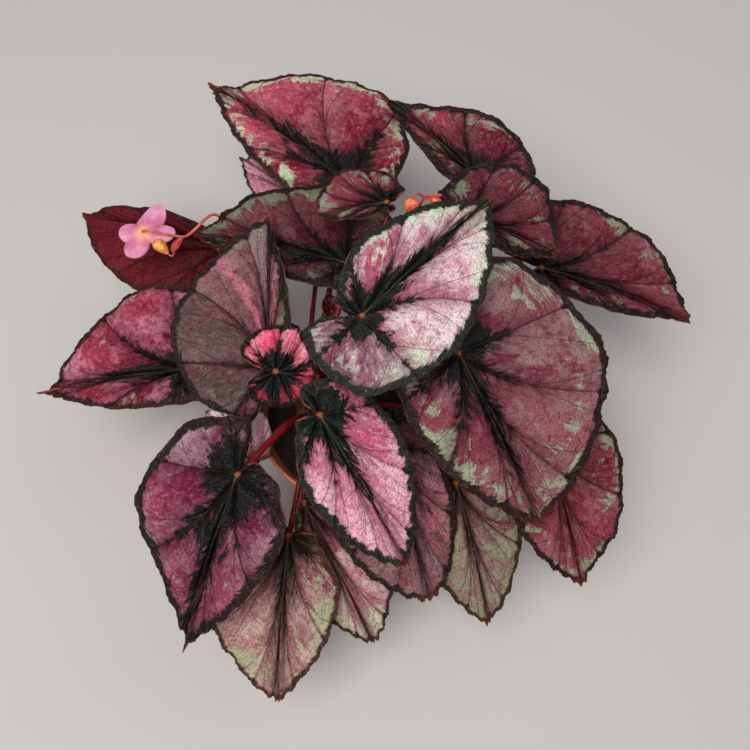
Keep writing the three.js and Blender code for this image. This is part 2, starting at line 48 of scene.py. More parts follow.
RIM_RADIUS = 60
BASE_RADIUS = 43
POT_HEIGHT = 105
POT_WALL = 1.8
COLLAR_DEPTH = 14
COLLAR_STEP = 2.4
FLOOR_THICKNESS = 3
SOIL_TOP = 90
DRAIN_HOLES = 6
DRAIN_RADIUS = 5
DRAIN_RING = 29
CROWN = Vector((-19, 6, 0))
CROWN_RADIUS = 17
CROWN_HEIGHT = 9
CROWN_NARROWING = 0.9
BLADE_THICKNESS = 0.9
STALK_ROOT = 78
STALK_RISE = 27
STALK_SPRING = 0.45
STALK_SETTLE = 0.2
STALK_SEAT = 0.7
STALK_TAPER = 0.75
RIM_RISE = 66
VEINS = 10
PLEAT_SHARE = 0.03
MARGIN_WAVES = 7

# Veins of a blade: where they begin to fork and how far the forks part, as shares of a panel; how far from
# the midrib veins still spring from it rather than from the joint, as shares of the way round.
FORK_FROM = 0.42
FORK_SWING = 0.12
FORK_TURN = 2.1
FORK_SPREAD = 0.6
MIDRIB_VEINS = 0.11
JOINT_VEINS = 0.32
SPRING_POINT = 0.58

# How deep and how far to each side the blade is pinched in along a vein and along a fork.
VEIN_DEPTH = 1.4
VEIN_REACH = 1.4
FORK_DEPTH = 1
FORK_REACH = 1.3

# Front half of a blade's outline, from the tip back to the widest point, and its basal lobe.
FRONT_OUTLINE = [(0.93, 0.07), (0.78, 0.32), (0.55, 0.66), (0.28, 0.91), (0, 1)]
LOBE_OUTLINE = [(0.35, 0.5, 0.5), (0.65, 0, 1), (0.88, 0, 0.9), (1, 0, 0.55)]

# Leaves, shaped as in the part's source but for small changes after the photo. Left and right say a side's
# half width, its lobe, the degrees at which the lobe ends, where the side is widest and how full it is
# towards the tip. Root is how far from the crown's middle the stalk starts and at how many degrees, stalk
# its radius. Heart is the radius of the dark heart and soft how softly it ends, arm and midrib how far its
# arms reach as shares of the leaf's length, band the width of the dark margin, rusty how red the edge is and
# teeth how deep its teeth are. Mint, silver and flecks are how strong the pale markings are, reach is how far
# the blotches stand in, inked how dark the veins are and shade how light the leaf is: in part its own tone
# and in part painted light and shade for where it sits among the other leaves. Panels between veins count
# from the right lobe: pinks and stripes are pinker, the sheen panels get a painted greyish sheen and dusks
# are duller. What a leaf doesn't say is as in PLAIN_LEAF, and its palette is its tone's.
PLAIN_LEAF = dict(
    roll=0, arch=0.08, sag=(0.2, 0.2), wave=1.6, arm=0.3, soft=2.6, rusty=0.35, teeth=1, reach=8, flecks=0,
    inked=0.55, shade=1, pinks=(), stripes=(), painted_sheen_panels=(), dusks=(),
)
LEAVES = {
    "top_left": dict(
        joint=(-2, 151, 128), tip=(-108, 247, 110), tone="burgundy",
        left=(34, 28, 160, 0.2, 1.1), right=(84, 38, 145, 0.28, 0.66),
        roll=4, arch=0.07, sag=(0.1, 0.2), wave=1.8, root=(21, 98), stalk=2.3,
        heart=20, arm=0.4, midrib=0.75, band=4.5, mint=0.85, silver=0.25, shade=1.27,
    ),
    "top_right": dict(
        joint=(86, 150, 136), tip=(20, 220, 130), tone="burgundy",
        left=(14, 12, 140, 0.2, 1), right=(44, 38, 165, 0.08, 0.56),
        roll=-8, sag=(0.4, 0.2), root=(21, 62), stalk=2.2,
        heart=14, midrib=0.65, band=5, mint=0.7, silver=0.15, shade=0.98,
    ),
    "right": dict(
        joint=(127, 91, 122), tip=(231, 61, 98), tone="burgundy",
        left=(57, 46, 170, 0.16, 1.5), right=(15, 13, 150, 0.3, 1.1),
        roll=8, arch=0.09, sag=(0.2, 0.3), wave=1.8, root=(21, 36), stalk=2.2,
        heart=11, arm=0.35, midrib=0.85, band=4.6, mint=0.6, silver=0.25, shade=0.9,
    ),
    "upper_right": dict(
        joint=(71, 94, 178), tip=(127, 78, 163), tone="burgundy",
        left=(47, 27, 160, 0.3, 1.9), right=(12, 12, 120, 0.3, 1.8),
        roll=4, arch=0.12, sag=(0.15, 0.5), wave=2, root=(13, 24), stalk=2.1,
        heart=7, midrib=0.6, band=5, mint=0.85, silver=0.1, shade=0.76,
    ),
    "centre_silver": dict(
        joint=(10, 24, 200), tip=(87, 103, 190), tone="silver",
        left=(33, 19, 116, 0.26, 1), right=(49, 36, 230, 0.14, 1.05),
        roll=2, arch=0.06, sag=(0.12, 0.16), wave=1.5, root=(6, 25), stalk=2.4,
        heart=13, midrib=1.02, soft=1.3, band=4.8, rusty=0.1, mint=0.9, silver=0.7, flecks=0.1, inked=0.35,
        dusks=(0, 1),
    ),
    "right_large": dict(
        joint=(64, 13, 172), tip=(113, -80, 130), tone="burgundy", palette="dusty",
        left=(82, 59, 182, 0.22, 1.3), right=(43, 36, 150, 0.2, 1.25),
        roll=4, arch=0.09, wave=2, root=(13, -6), stalk=2.6,
        heart=18, arm=0.4, midrib=0.9, band=5.6, mint=1, reach=11, silver=0.55, flecks=0.1, painted_sheen_panels=(7, 8, 9),
    ),
    "lower_right": dict(
        joint=(121, -25, 117), tip=(148, -110, 75), tone="burgundy",
        left=(48, 33, 160, 0.2, 1.3), right=(34, 26, 160, 0.2, 1.5),
        wave=1.7, root=(21, -8), stalk=2.3,
        heart=6, midrib=0.5, band=3.6, mint=0.8, silver=0.3, shade=0.95,
    ),
    "lower_olive": dict(
        joint=(67, -50, 109), tip=(91, -134, 58), tone="olive",
        left=(37, 26, 160, 0.2, 1.2), right=(31, 26, 160, 0.2, 1.5),
        root=(21, -30), stalk=2.2,
        heart=6, midrib=0.6, band=3.4, mint=1, reach=20, silver=0.4, inked=0.35, shade=0.96,
    ),
    "lower_middle": dict(
        joint=(20, -27, 130), tip=(52, -120, 85), tone="rose",
        left=(33, 22, 150, 0.3, 1.8), right=(45, 30, 170, 0.3, 1.7),
        roll=-4, root=(13, -45), stalk=2.3,
        heart=12, arm=0.4, midrib=0.6, band=4.4, mint=0.3, silver=0.35, flecks=0.1, inked=0.35,
        pinks=(6, 7), shade=0.84,
    ),
    "front_pink": dict(
        joint=(-13, -24, 175), tip=(36, -102, 132), tone="pink",
        left=(34, 19, 205, 0.24, 1.2), right=(29, 15, 112, 0.28, 1.6),
        arch=0.1, wave=1.5, root=(6, -95), stalk=2.2,
        heart=15, midrib=0.66, soft=1.1, band=4.8, rusty=0.1, mint=0, silver=0.35, flecks=0.5, inked=0.3,
        shade=0.97,
    ),
    "front_left": dict(
        joint=(-60, -53, 155), tip=(-96, -148, 98), tone="burgundy", palette="plum",
        left=(37, 14, 155, 0.2, 1), right=(57, 34, 182, 0.26, 0.45),
        roll=4, wave=2, root=(13, -125), stalk=2.5,
        heart=22, arm=0.4, midrib=1.05, band=6, mint=0.3, silver=0.45, painted_sheen_panels=(0, 1),
    ),
    "bottom": dict(
        joint=(-35, -82, 114), tip=(-45, -181, 56), tone="olive",
        left=(34, 18, 104, 0.28, 1.2), right=(52, 30, 150, 0.3, 1.15),
        wave=1.7, root=(21, -100), stalk=2.3,
        heart=18, arm=0.2, midrib=0.62, soft=5, band=3.4, mint=1, reach=13, silver=0.4, inked=0.3,
        pinks=(5,), shade=1.18,
    ),
    "bottom_middle": dict(
        joint=(-26, -63, 117), tip=(17, -146, 50), tone="rose",
        left=(38, 16, 140, 0.3, 1.4), right=(24, 6, 95, 0.45, 1.2),
        arch=0.07, root=(21, -74), stalk=2.1,
        heart=9, midrib=0.5, soft=4, band=3, mint=1, reach=13, silver=0.8, inked=0.35, pinks=(5,),
        shade=1.22,
    ),
    "left": dict(
        joint=(-101, 22, 118), tip=(-209, 13, 90), tone="magenta",
        left=(23, 20, 150, 0.2, 1), right=(65, 44, 168, 0.28, 0.55),
        roll=-3, sag=(0.25, 0.2), wave=2, root=(21, 172), stalk=2.3,
        heart=16, arm=0.4, midrib=0.85, band=4, mint=0.4, silver=0.6, shade=1.06,
    ),
    "left_upper": dict(
        joint=(-46, 11, 152), tip=(-49, 112, 158), tone="rose",
        left=(59, 37, 172, 0.2, 1), right=(14, 13, 125, 0.2, 0.8),
        roll=4, arch=0.06, sag=(0.2, -0.5), wave=1.8, root=(13, 160), stalk=2.4,
        heart=4, midrib=0.5, band=4, rusty=0.1, mint=0.5, silver=0.3, pinks=(3, 4), stripes=(6,),
        painted_sheen_panels=(5,), dusks=(7, 8), shade=0.78,
    ),
    "young_red": dict(
        joint=(-38, 1, 176), tip=(-14, -2, 173), tone="crimson",
        left=(27, 25, 172, 0.2, 1.4), right=(18, 19, 158, 0.2, 1.8),
        arch=0, sag=(-0.2, 0.7), root=(6, -155), stalk=1.8,
        heart=12, arm=0.9, midrib=0.7, soft=0.8, band=3, rusty=0, mint=0, silver=0.5, painted_sheen_panels=(6, 7),
        dusks=(1, 2, 3, 4), shade=1.02,
    ),
    "back_left": dict(
        joint=(0, 81, 148), tip=(-106, 111, 128), tone="burgundy",
        left=(21, 16, 150, 0.2, 1), right=(59, 43, 168, 0.26, 1.15),
        roll=4, arch=0.07, wave=1.8, root=(13, 90), stalk=2.2,
        # Shade 0.76 is painted shade: the leaf lies under the others at the back, and its colours are made
        # darker.
        heart=14, arm=0.4, midrib=0.8, band=4.8, mint=1, silver=0.35, shade=0.76,
    ),
    "small_top": dict(
        joint=(24, 110, 172), tip=(-20, 106, 162), tone="burgundy",
        left=(9, 7, 150, 0.4, 1.7), right=(30, 16, 155, 0.45, 2.6),
        wave=1.2, root=(13, 62), stalk=1.7,
        heart=9, arm=0.4, midrib=0.6, soft=1.5, band=3, mint=0.9, silver=0.15, shade=0.92,
    ),
    "back_pink": dict(
        joint=(-22, 138, 108), tip=(-84, 195, 94), tone="pink",
        left=(24, 18, 150, 0.2, 1.2), right=(24, 18, 150, 0.2, 1.2),
        arch=0.07, wave=1.4, root=(21, 114), stalk=1.9,
        heart=3, midrib=0.5, band=2, mint=0.3, silver=0.2, inked=0.4, pinks=(2, 6), shade=0.92,
    ),
    "dark_red": dict(
        joint=(-91, 112, 107), tip=(-199, 153, 83), tone="wine",
        left=(45, 30, 122, 0.3, 1.25), right=(17.5, 9, 165, 0.46, 1.1), teeth=0.4,
        arch=0.06, root=(21, 142), stalk=2.1,
        heart=1.5, midrib=0.3, band=2.4, mint=0, silver=0.1, inked=0.3,
    ),
    "pale_small": dict(
        joint=(-56, -37, 114), tip=(-89, -6, 120), tone="silver", palette="pale",
        left=(20, 14, 150, 0.2, 1.2), right=(24, 10, 120, 0.35, 1.2),
        arch=0.07, wave=1.2, root=(21, -150), stalk=1.8,
        # Shade 1.3 is painted light: the leaf lies in the shade of the leaves above it, and its colours are
        # made lighter.
        heart=0.5, arm=0.2, midrib=0.2, band=1, mint=0.3, silver=0.6, shade=1.3,
    ),
    "sprout": dict(
        joint=(-11, 60, 120), tip=(-14, 72, 124), tone="crimson",
        left=(6, 5, 140, 0.3, 1.2), right=(6, 5, 140, 0.3, 1.2),
        arch=0.05, sag=(-0.3, -0.3), wave=0.6, root=(21, 80), stalk=1.4,
        heart=3, arm=0.7, midrib=0.9, band=1, mint=0, silver=0, shade=0.8,
    ),
}

# Colours of a blade by tone: next to the dark heart, further out, the greyish silver that is laid both as
# pale markings and as painted sheen, the blotches, the heart, the margin and the duller panels.
TONE_PARTS = ("inner", "outer", "sheen", "mint", "heart", "edge", "dusk")
TONES = {
    "silver": ("#9c4561", "#c8a2ac", "#d9cccd", "#b3c0aa", "#10140f", "#1b1f1a", "#4e3340"),
    "pink": ("#b2506e", "#d795aa", "#e4c2cd", "#d9c9cc", "#10150f", "#1a1f1b", "#b04668"),
    "rose": ("#742f3e", "#97636c", "#a58d8c", "#949a7c", "#141110", "#241d1a", "#5c4c48"),
    "burgundy": ("#5e0f24", "#8a3748", "#977072", "#8d9a7e", "#0b0a09", "#211314", "#5f3540"),
    "dusty": ("#6b1a34", "#84484f", "#866b6c", "#8b9a80", "#0b0b0a", "#231415", "#5f3540"),
    "plum": ("#6a1236", "#8d3d55", "#a08790", "#97a486", "#0b0a09", "#1e1315", "#5f3540"),
    "magenta": ("#640c24", "#8e2c44", "#b5768c", "#8f8f7a", "#0c0909", "#261314", "#5a2a35"),
    "crimson": ("#a8163a", "#d85272", "#f0a8b8", "#e3b6bf", "#0b0e10", "#17100f", "#90081a"),
    "olive": ("#6c3a42", "#8c6a62", "#a4938a", "#84896a", "#171511", "#33221c", "#6b5a4f"),
    "wine": ("#4c0a13", "#5f101a", "#692029", "#85505a", "#24080c", "#2a0e0e", "#5c0d18"),
    "pale": ("#cc7d93", "#e6b9c2", "#efdcdc", "#cfcdbb", "#7a5f5c", "#94716c", "#c9a9a9"),
}
FLECK = "#e6d6d8"
STRIPE = "#b7657a"
VEIN_IN_HEART = "#6f6a50"
MARGIN_SPECK = "#7c7d70"
RUST = "#5e231f"
JOINT_GLOW = "#75492a"
JOINT_DOT = "#8f5228"
BLACK = (0, 0, 0, 1)

# How many grains, specks, pebbles or puckers of a blade fit in a metre.
FINE, MOTTLE, PEBBLE, SPECKS, PUCKERS = 1300.0, 130.0, 800.0, 420.0, 300.0

# Plain materials: a dark and a light colour, patches in a metre, depth of the relief in metres, roughness
# and, where it isn't four times the patches, grains of the relief in a metre.
SKINS = {
    "margin_hair": ("#3a2524", "#857069", 300, 0.0001, 0.6),
    "stalk_hair": ("#702020", "#a85a50", 300, 0.0001, 0.6),
    "flower_base_skin": ("#e8a07c", "#f0b890", 300, 0.0001, 0.5),
    "flower_stalk_skin": ("#98302a", "#c4685a", 150, 0.0002, 0.4),
    "bud_stalk_skin": ("#86140f", "#c4402e", 150, 0.0002, 0.4),
    "bract_skin": ("#6c0f16", "#a8302c", 120, 0.0003, 0.45),
    "stamen_skin": ("#e08a1e", "#f6c04a", 400, 0.0002, 0.5),
    "yellow_bud_skin": ("#a8401c", "#dba03c", 220, 0.0003, 0.4),
    "red_bud_skin": ("#a01410", "#e07a48", 220, 0.0003, 0.38),
    "soil_crumbs": ("#0e0a08", "#2e231c", 300, 0.002, 0.95, 700),
    "rootstock_bark": ("#3a2418", "#6f4a33", 120, 0.001, 0.75, 500),
    "dry_scales": ("#6a3a2a", "#a3674c", 200, 0.0004, 0.7),
}


# ---- Making materials ----


def tint(code, shade=1):
    """A screen colour such as #c9a3ac, made lighter or darker, as the linear colour the shader takes."""
    channels = [min(int(code[i : i + 2], 16) * shade / 255, 1) for i in (1, 3, 5)]
    linear = [c / 12.92 if c < 0.04045 else ((c + 0.055) / 1.055) ** 2.4 for c in channels]
    return (*linear, 1)


class Finish:
    """A material being put together: each call adds a node and gives back what comes out of it."""

    def __init__(self, name, roughness=0.5, **constants):
        self.material = bpy.data.materials.new(name)
        self.material.use_nodes = True
        self.tree = self.material.node_tree
        self.shader = self.tree.nodes["Principled BSDF"]
        self.shader.inputs["Roughness"].default_value = roughness
        for socket, value in constants.items():
            self.shader.inputs[socket.replace("_", " ")].default_value = value

    def feed(self, socket, value):
        if isinstance(value, bpy.types.NodeSocket):
            self.tree.links.new(value, socket)
        else:
            socket.default_value = value

    def add(self, kind, feeds, **settings):
        node = self.tree.nodes.new("ShaderNode" + kind)
        for name, value in settings.items():
            setattr(node, name, value)
        for socket, value in feeds.items():
            self.feed(node.inputs[socket], value)
        return node

    def maths(self, operation, *values):
        return self.add("Math", dict(enumerate(values)), operation=operation).outputs[0]

    def times(self, first, second):
        return self.maths("MULTIPLY", first, second)

    def over(self, first, second):
        return self.maths("DIVIDE", first, second)

    def less(self, first, second):
        return self.maths("SUBTRACT", first, second)

    def larger(self, first, second):
        return self.maths("MAXIMUM", first, second)

    def scaled(self, value, factor, start):
        return self.maths("MULTIPLY_ADD", value, factor, start)

    def off_centre(self, value, factor, start):
        """The start, and more or less than it as the value is over or under a half."""
        return self.scaled(self.less(value, 0.5), factor, start)

    def ramp(self, value, low, high):
        """A smooth step from 0 at low to 1 at high; low may be the larger."""
        feeds = {"Value": value, "From Min": low, "From Max": high}
        return self.add("MapRange", feeds, interpolation_type="SMOOTHSTEP").outputs[0]

    def spread(self, value, low, high):
        """A value between 0 and 1, spread out between low and high."""
        return self.add("MapRange", {"Value": value, "To Min": low, "To Max": high}).outputs[0]

    def joined(self, x, y, z=0.0):
        return self.add("CombineXYZ", {0: x, 1: y, 2: z}).outputs[0]

    def parts(self, vector):
        return self.add("SeparateXYZ", {0: vector}).outputs

    def place(self):
        """Where a point of the object is, in metres."""
        return self.add("TexCoord", {}).outputs["Object"]

    def grain(self, place, scale, detail=3.0, roughness=0.5):
        feeds = {"Vector": place, "Scale": scale, "Detail": detail, "Roughness": roughness}
        return self.add("TexNoise", feeds).outputs["Fac"]

    def cells(self, place, scale, feature="F1"):
        feeds = {"Vector": place, "Scale": scale}
        return self.add("TexVoronoi", feeds, feature=feature).outputs["Distance"]

    def draw(self, value):
        """A random number from 0 to 1 for each whole value."""
        return self.add("TexWhiteNoise", {"W": value}, noise_dimensions="1D").outputs["Value"]

    def raised(self, height, distance, strength=1.0):
        feeds = {"Height": height, "Distance": distance, "Strength": strength}
        return self.add("Bump", feeds).outputs["Normal"]

    def mix(self, share, first, second):
        return self.add("Mix", {0: share, 6: first, 7: second}, data_type="RGBA").outputs[2]

    def two_tone(self, pattern, low, high, dark, light):
        """Lays the ground: a dark colour where the pattern is low and a light one where it is high."""
        self.colour = self.mix(self.ramp(pattern, low, high), tint(dark), tint(light))

    def lay(self, pattern, low, high, colour, most=1, where=None):
        """Lays a colour over those before it, more of it as the pattern goes from low to high."""
        share = self.ramp(pattern, low, high)
        if where is not None:
            share = self.times(where, share)
        if most != 1:
            share = self.times(share, most)
        self.colour = self.mix(share, self.colour, tint(colour) if isinstance(colour, str) else colour)

    def coat(self, roughness=None, normal=None):
        """Puts the colour and the relief on the shader."""
        for socket, value in (("Base Color", self.colour), ("Roughness", roughness), ("Normal", normal)):
            if value is not None:
                self.feed(self.shader.inputs[socket], value)
        return self.material


class LeafFinish(Finish):
    """What both faces of a blade read: sizes in millimetres, and the lines of the veins."""

    def __init__(self, name, leaf, **constants):
        super().__init__(name, **constants)
        self.leaf = leaf
        self.seed = leaf["seed"]
        turn, share, _ = self.parts(self.add("UVMap", {}, uv_map="leaf").outputs[0])
        self.out, across, self.inward = self.carried("leaf_mm")
        self.along, self.off_midrib, _ = self.carried("leaf_flat")
        self.turn = self.times(turn, VEINS)
        self.vein = self.maths("ROUND", self.turn)
        self.lean = self.less(self.turn, self.vein)
        self.aside = self.maths("ABSOLUTE", self.lean)
        self.off_vein = self.times(self.aside, across)
        swing = self.maths("SINE", self.scaled(self.vein, FORK_TURN, self.seed))
        past_fork = self.larger(self.less(share, self.scaled(swing, FORK_SWING, FORK_FROM)), 0.0)
        off_fork = self.maths("ABSOLUTE", self.scaled(past_fork, -FORK_SPREAD, self.aside))
        self.main_line = self.ramp(self.off_vein, 0.55, 0.1)
        self.fork_line = self.ramp(self.times(off_fork, across), 0.45, 0.05)

    def carried(self, name):
        """The three numbers that a blade's mesh carries at each point under a name."""
        return self.parts(self.add("Attribute", {}, attribute_name=name).outputs["Vector"])

    def vein_lines(self, forks):
        """The lines of the veins, with the forks so much weaker."""
        return self.larger(self.main_line, self.times(self.fork_line, forks))


class BladeFinish(LeafFinish):
    """The upper face of a blade, coloured in layers that are laid over each other."""

    def __init__(self, name, leaf, length):
        super().__init__("blade_" + name, leaf, Specular_IOR_Level=0.11)
        self.length = length
        palette = TONES[leaf.get("palette", leaf["tone"])]
        self.tints = {part: tint(code, leaf["shade"]) for part, code in zip(TONE_PARTS, palette)}
        self.tints["deep"] = tint(palette[0], 0.62 * leaf["shade"])
        self.toward = self.over(self.out, length)
        place = self.place()
        self.fine = self.grain(place, FINE, 2.0)
        self.mottle = self.grain(place, MOTTLE, 5.0, 0.6)
        self.specks = self.grain(place, SPECKS, 5.0, 0.7)
        self.pebble = self.cells(place, PEBBLE)
        self.pucker = self.cells(place, PUCKERS, "SMOOTH_F1")
        self.streak = self.streaks(3.2, 18.0, 0)
        self.lines = self.vein_lines(0.6)
        self.dusks = self.on_panels("dusks")

    def lay(self, pattern, low, high, colour, *most_and_where):
        """Takes the name of one of the leaf's own tints as well."""
        super().lay(pattern, low, high, self.tints.get(colour, colour), *most_and_where)

    def streaks(self, across, length, spare, detail=4.0, roughness=0.6):
        """Noise drawn out along the veins: so many streaks across a panel, each of about this length."""
        place = self.joined(self.times(self.turn, across), self.over(self.out, length), self.seed + spare)
        return self.grain(place, 1.0, detail, roughness)

    def on_panels(self, kind):
        """1 on the leaf's panels of a kind, 0 elsewhere."""
        number = self.maths("FLOOR", self.turn)
        total = 0.0
        for panel in self.leaf[kind]:
            total = self.maths("ADD", total, self.maths("COMPARE", number, panel, 0.5))
        return total

    def panels(self):
        """Streaked outwards, with painted shade on one side of each vein and painted sheen on the other."""
        streak, lean = self.streak, self.lean
        luck = self.draw(self.maths("ADD", self.maths("FLOOR", self.turn), self.seed * 31))
        outwards = self.off_centre(luck, 0.3, self.off_centre(streak, 1.2, self.toward))
        self.colour = self.mix(self.ramp(outwards, 0.15, 0.7), self.tints["inner"], self.tints["outer"])
        self.lay(streak, 0.43, 0.54, STRIPE, 0.8, self.on_panels("pinks"))
        stripe = self.off_centre(streak, 0.5, self.aside)
        self.lay(stripe, 0.36, 0.45, STRIPE, 0.65, self.on_panels("stripes"))
        silvered = self.off_centre(streak, 0.5, self.streaks(1.1, 30.0, 3))
        self.lay(silvered, 0.46, 0.62, "sheen", self.leaf["silver"])
        # Painted sheen: the greyish colour laid over whole panels that turn away from the view.
        self.lay(streak, 0.35, 0.6, "sheen", 0.75, self.on_panels("painted_sheen_panels"))
        self.lay(streak, 0.75, 0.35, "dusk", 1, self.dusks)
        # Painted shade: the inner colour laid along one side of each vein, as if that side of the puffed
        # panel lay in shade.
        painted_shade_side = self.times(self.maths("GREATER_THAN", lean, 0.0), self.ramp(lean, 0.4, 0.02))
        self.lay(streak, 0.3, 0.55, "inner", 0.6, painted_shade_side)
        # Painted sheen: the greyish colour laid along the other side of each vein, as if light caught that
        # side of the panel.
        dusty = self.times(self.maths("LESS_THAN", lean, 0.0), self.ramp(lean, -0.5, -0.02))
        self.lay(streak, 0.6, 0.4, "sheen", 0.35, dusty)
        brush = self.streaks(15.0, 5.0, 6)
        self.lay(brush, 0.5, 0.72, "sheen", 0.45)
        self.lay(brush, 0.5, 0.28, "deep", 0.55)
        self.lay(self.mottle, 0.48, 0.3, "deep", 0.4)

    def blotches(self):
        """Pale, along the margin, combed inwards and parted by the veins."""
        mint, reach = self.leaf["mint"], self.leaf["reach"]
        comb = self.streaks(5.0, 40.0, 15, 5.0, 0.7)
        depth = self.off_centre(comb, 9 * reach, self.leaf["band"] + 1.1 * reach)
        limit = 0.62 - 0.17 * mint
        patch = self.ramp(self.streaks(1.3, 15.0, 5, 5.0, 0.65), limit, limit + 0.08)
        blotch = self.times(self.ramp(self.less(depth, self.inward), -0.5, 1.5), patch)
        blotch = self.times(blotch, self.scaled(self.dusks, -0.5, 1.0))
        self.lay(self.off_vein, 0.3, 2.0, "mint", 0.8 * min(2 * mint, 1), blotch)

    def flecks(self):
        """Small and light further out, and painted shade in the gaps between the pebbles."""
        fleck = self.streaks(16.0, 1.8, 9, 3.0)
        self.lay(fleck, 0.58, 0.68, FLECK, self.leaf["flecks"], self.ramp(self.toward, 0.35, 0.7))
        # Painted shade: black laid in the gaps between the pebbles.
        self.lay(self.pebble, 0.35, 0.8, BLACK, 0.35)
        self.lay(self.fine, 0.48, 0.2, BLACK, 0.3)

    def thin_veins(self):
        """Dark, fading outwards."""
        self.lay(self.toward, 1.2, 0.2, "heart", self.leaf["inked"], self.lines)

    def in_heart(self):
        """How far inside the heart a point is: its core, its arms on the veins, its spine on the midrib."""
        radius, reach = self.leaf["heart"], self.leaf["arm"]
        lump = self.grain(self.joined(self.times(self.turn, 0.9), 0.0, self.seed + 21), 1.0, 2.0)
        core = self.less(self.off_centre(lump, 1.5 * radius, radius), self.out)
        luck = self.draw(self.maths("ADD", self.vein, self.seed * 17))
        taper = self.less(1.0, self.over(self.toward, self.scaled(luck, 0.7 * reach, 0.65 * reach)))
        arms = self.less(self.times(taper, 0.45 * radius), self.off_vein)
        narrowing = self.larger(self.less(1.0, self.over(self.along, self.leaf["midrib"] * self.length)), 0.0)
        spine = self.less(self.times(narrowing, 0.5 * radius), self.off_midrib)
        spine = self.less(spine, self.larger(self.times(self.along, -1.0), 0.0))
        return self.larger(self.larger(core, arms), spine)

    def heart(self):
        """The dark heart, ragged with feathers that lean out along the veins."""
        radius, soft = self.leaf["heart"], self.leaf["soft"]
        slant = self.scaled(self.aside, -3.5, self.over(self.out, 8.0))
        sideways = self.scaled(self.vein, 3.7, self.over(self.off_vein, 7.0))
        feather = self.grain(self.joined(slant, sideways, self.seed), 1.5, 6.0, 0.66)
        fray = self.times(self.less(feather, 0.5), self.ramp(self.toward, 1.5, 0.0))
        ragged = self.off_centre(self.fine, 2.5, self.scaled(fray, 1.7 * radius, self.in_heart()))
        self.lay(ragged, -0.7 * radius, 0.0, "deep", 0.55)
        dark, edge = self.tints["heart"], self.tints["edge"]
        dark = self.mix(self.ramp(self.mottle, 0.35, 0.7), dark, self.mix(0.2, dark, edge))
        dark = self.mix(self.times(self.main_line, 0.16), dark, tint(VEIN_IN_HEART))
        self.lay(ragged, -soft, soft, dark)

    def margin(self):
        """Dark, with tongues in along the veins, and a redder edge and tip."""
        band = self.leaf["band"]
        wander = self.streaks(3.0, 5.0, 12, 5.0, 0.7)
        rim = self.off_centre(self.fine, -2.0, self.off_centre(wander, -2.6 * band, self.inward))
        rim = self.scaled(self.ramp(self.off_vein, 3.0, 0.0), -0.5 * band, rim)
        light = self.times(self.ramp(self.specks, 0.55, 0.75), 0.3)
        dark = self.mix(light, self.tints["edge"], tint(MARGIN_SPECK))
        dark = self.mix(self.times(self.ramp(self.specks, 0.5, 0.3), 0.5), dark, BLACK)
        tip = self.ramp(self.along, 0.88 * self.length, self.length)
        rusty = self.larger(tip, self.times(self.ramp(self.inward, 1.1, 0.3), self.leaf["rusty"]))
        self.lay(rim, band + 1.2, band - 0.8, self.mix(rusty, dark, tint(RUST)))

    def joint(self):
        """A dull orange dot where the stalk joins, and a glow along the veins round it."""
        self.lay(self.out, 0.12 * self.length, 0.02 * self.length, JOINT_GLOW, 0.35, self.main_line)
        self.lay(self.out, 2.0, 0.8, JOINT_DOT, 0.8)

    def made(self):
        self.panels()
        self.blotches()
        self.flecks()
        self.thin_veins()
        self.heart()
        self.margin()
        self.joint()
        height = self.scaled(self.pucker, -0.9, self.times(self.pebble, -0.5))
        height = self.scaled(self.lines, -0.7, height)
        return self.coat(self.spread(self.mottle, 0.38, 0.55), self.raised(height, 0.0011))


def underside_finish(name, leaf):
    """The lower face: wine red with raised, paler veins."""
    finish = LeafFinish("underside_" + name, leaf, Sheen_Weight=0.1)
    finish.two_tone(finish.grain(finish.place(), 120.0, 5.0, 0.6), 0.3, 0.7, "#3c0a14", "#651522")
    lines = finish.vein_lines(0.7)
    finish.colour = finish.mix(lines, finish.colour, tint("#8a2a33"))
    pebble = finish.cells(finish.place(), 420.0, "SMOOTH_F1")
    return finish.coat(normal=finish.raised(finish.scaled(lines, 1.2, pebble), 0.0006, 0.7))


def mottled_finish(name, dark, light, scale, bump, roughness=0.5, bump_scale=None):
    """Two colours in soft patches over a fine relief, for the twigs, hairs, buds, soil and crown."""
    finish = Finish(name, roughness)
    place = finish.place()
    finish.two_tone(finish.grain(place, scale, 5.0, 0.6), 0.3, 0.7, dark, light)
    relief = finish.grain(place, bump_scale or scale * 4, 4.0, 0.6)
    return finish.coat(normal=finish.raised(relief, bump))


def pot_finish():
    """Moulded plastic: salmon orange, a little uneven, specked with soil, darker at the foot, scuffed."""
    finish = Finish("pot_plastic", 0.42, IOR=1.47)
    place = finish.place()
    cloud = finish.grain(place, 22.0, 4.0, 0.55)
    finish.two_tone(cloud, 0.3, 0.7, "#e07a50", "#f09268")
    finish.lay(finish.grain(place, 260.0, 5.0, 0.7), 0.55, 0.72, "#7a4632", 0.25)
    finish.lay(finish.parts(place)[2], 0.03, 0.0, "#a95238", 0.3)
    scuff = finish.grain(place, 900.0, 3.0, 0.6)
    return finish.coat(finish.spread(cloud, 0.34, 0.5), finish.raised(scuff, 0.00008, 0.6))


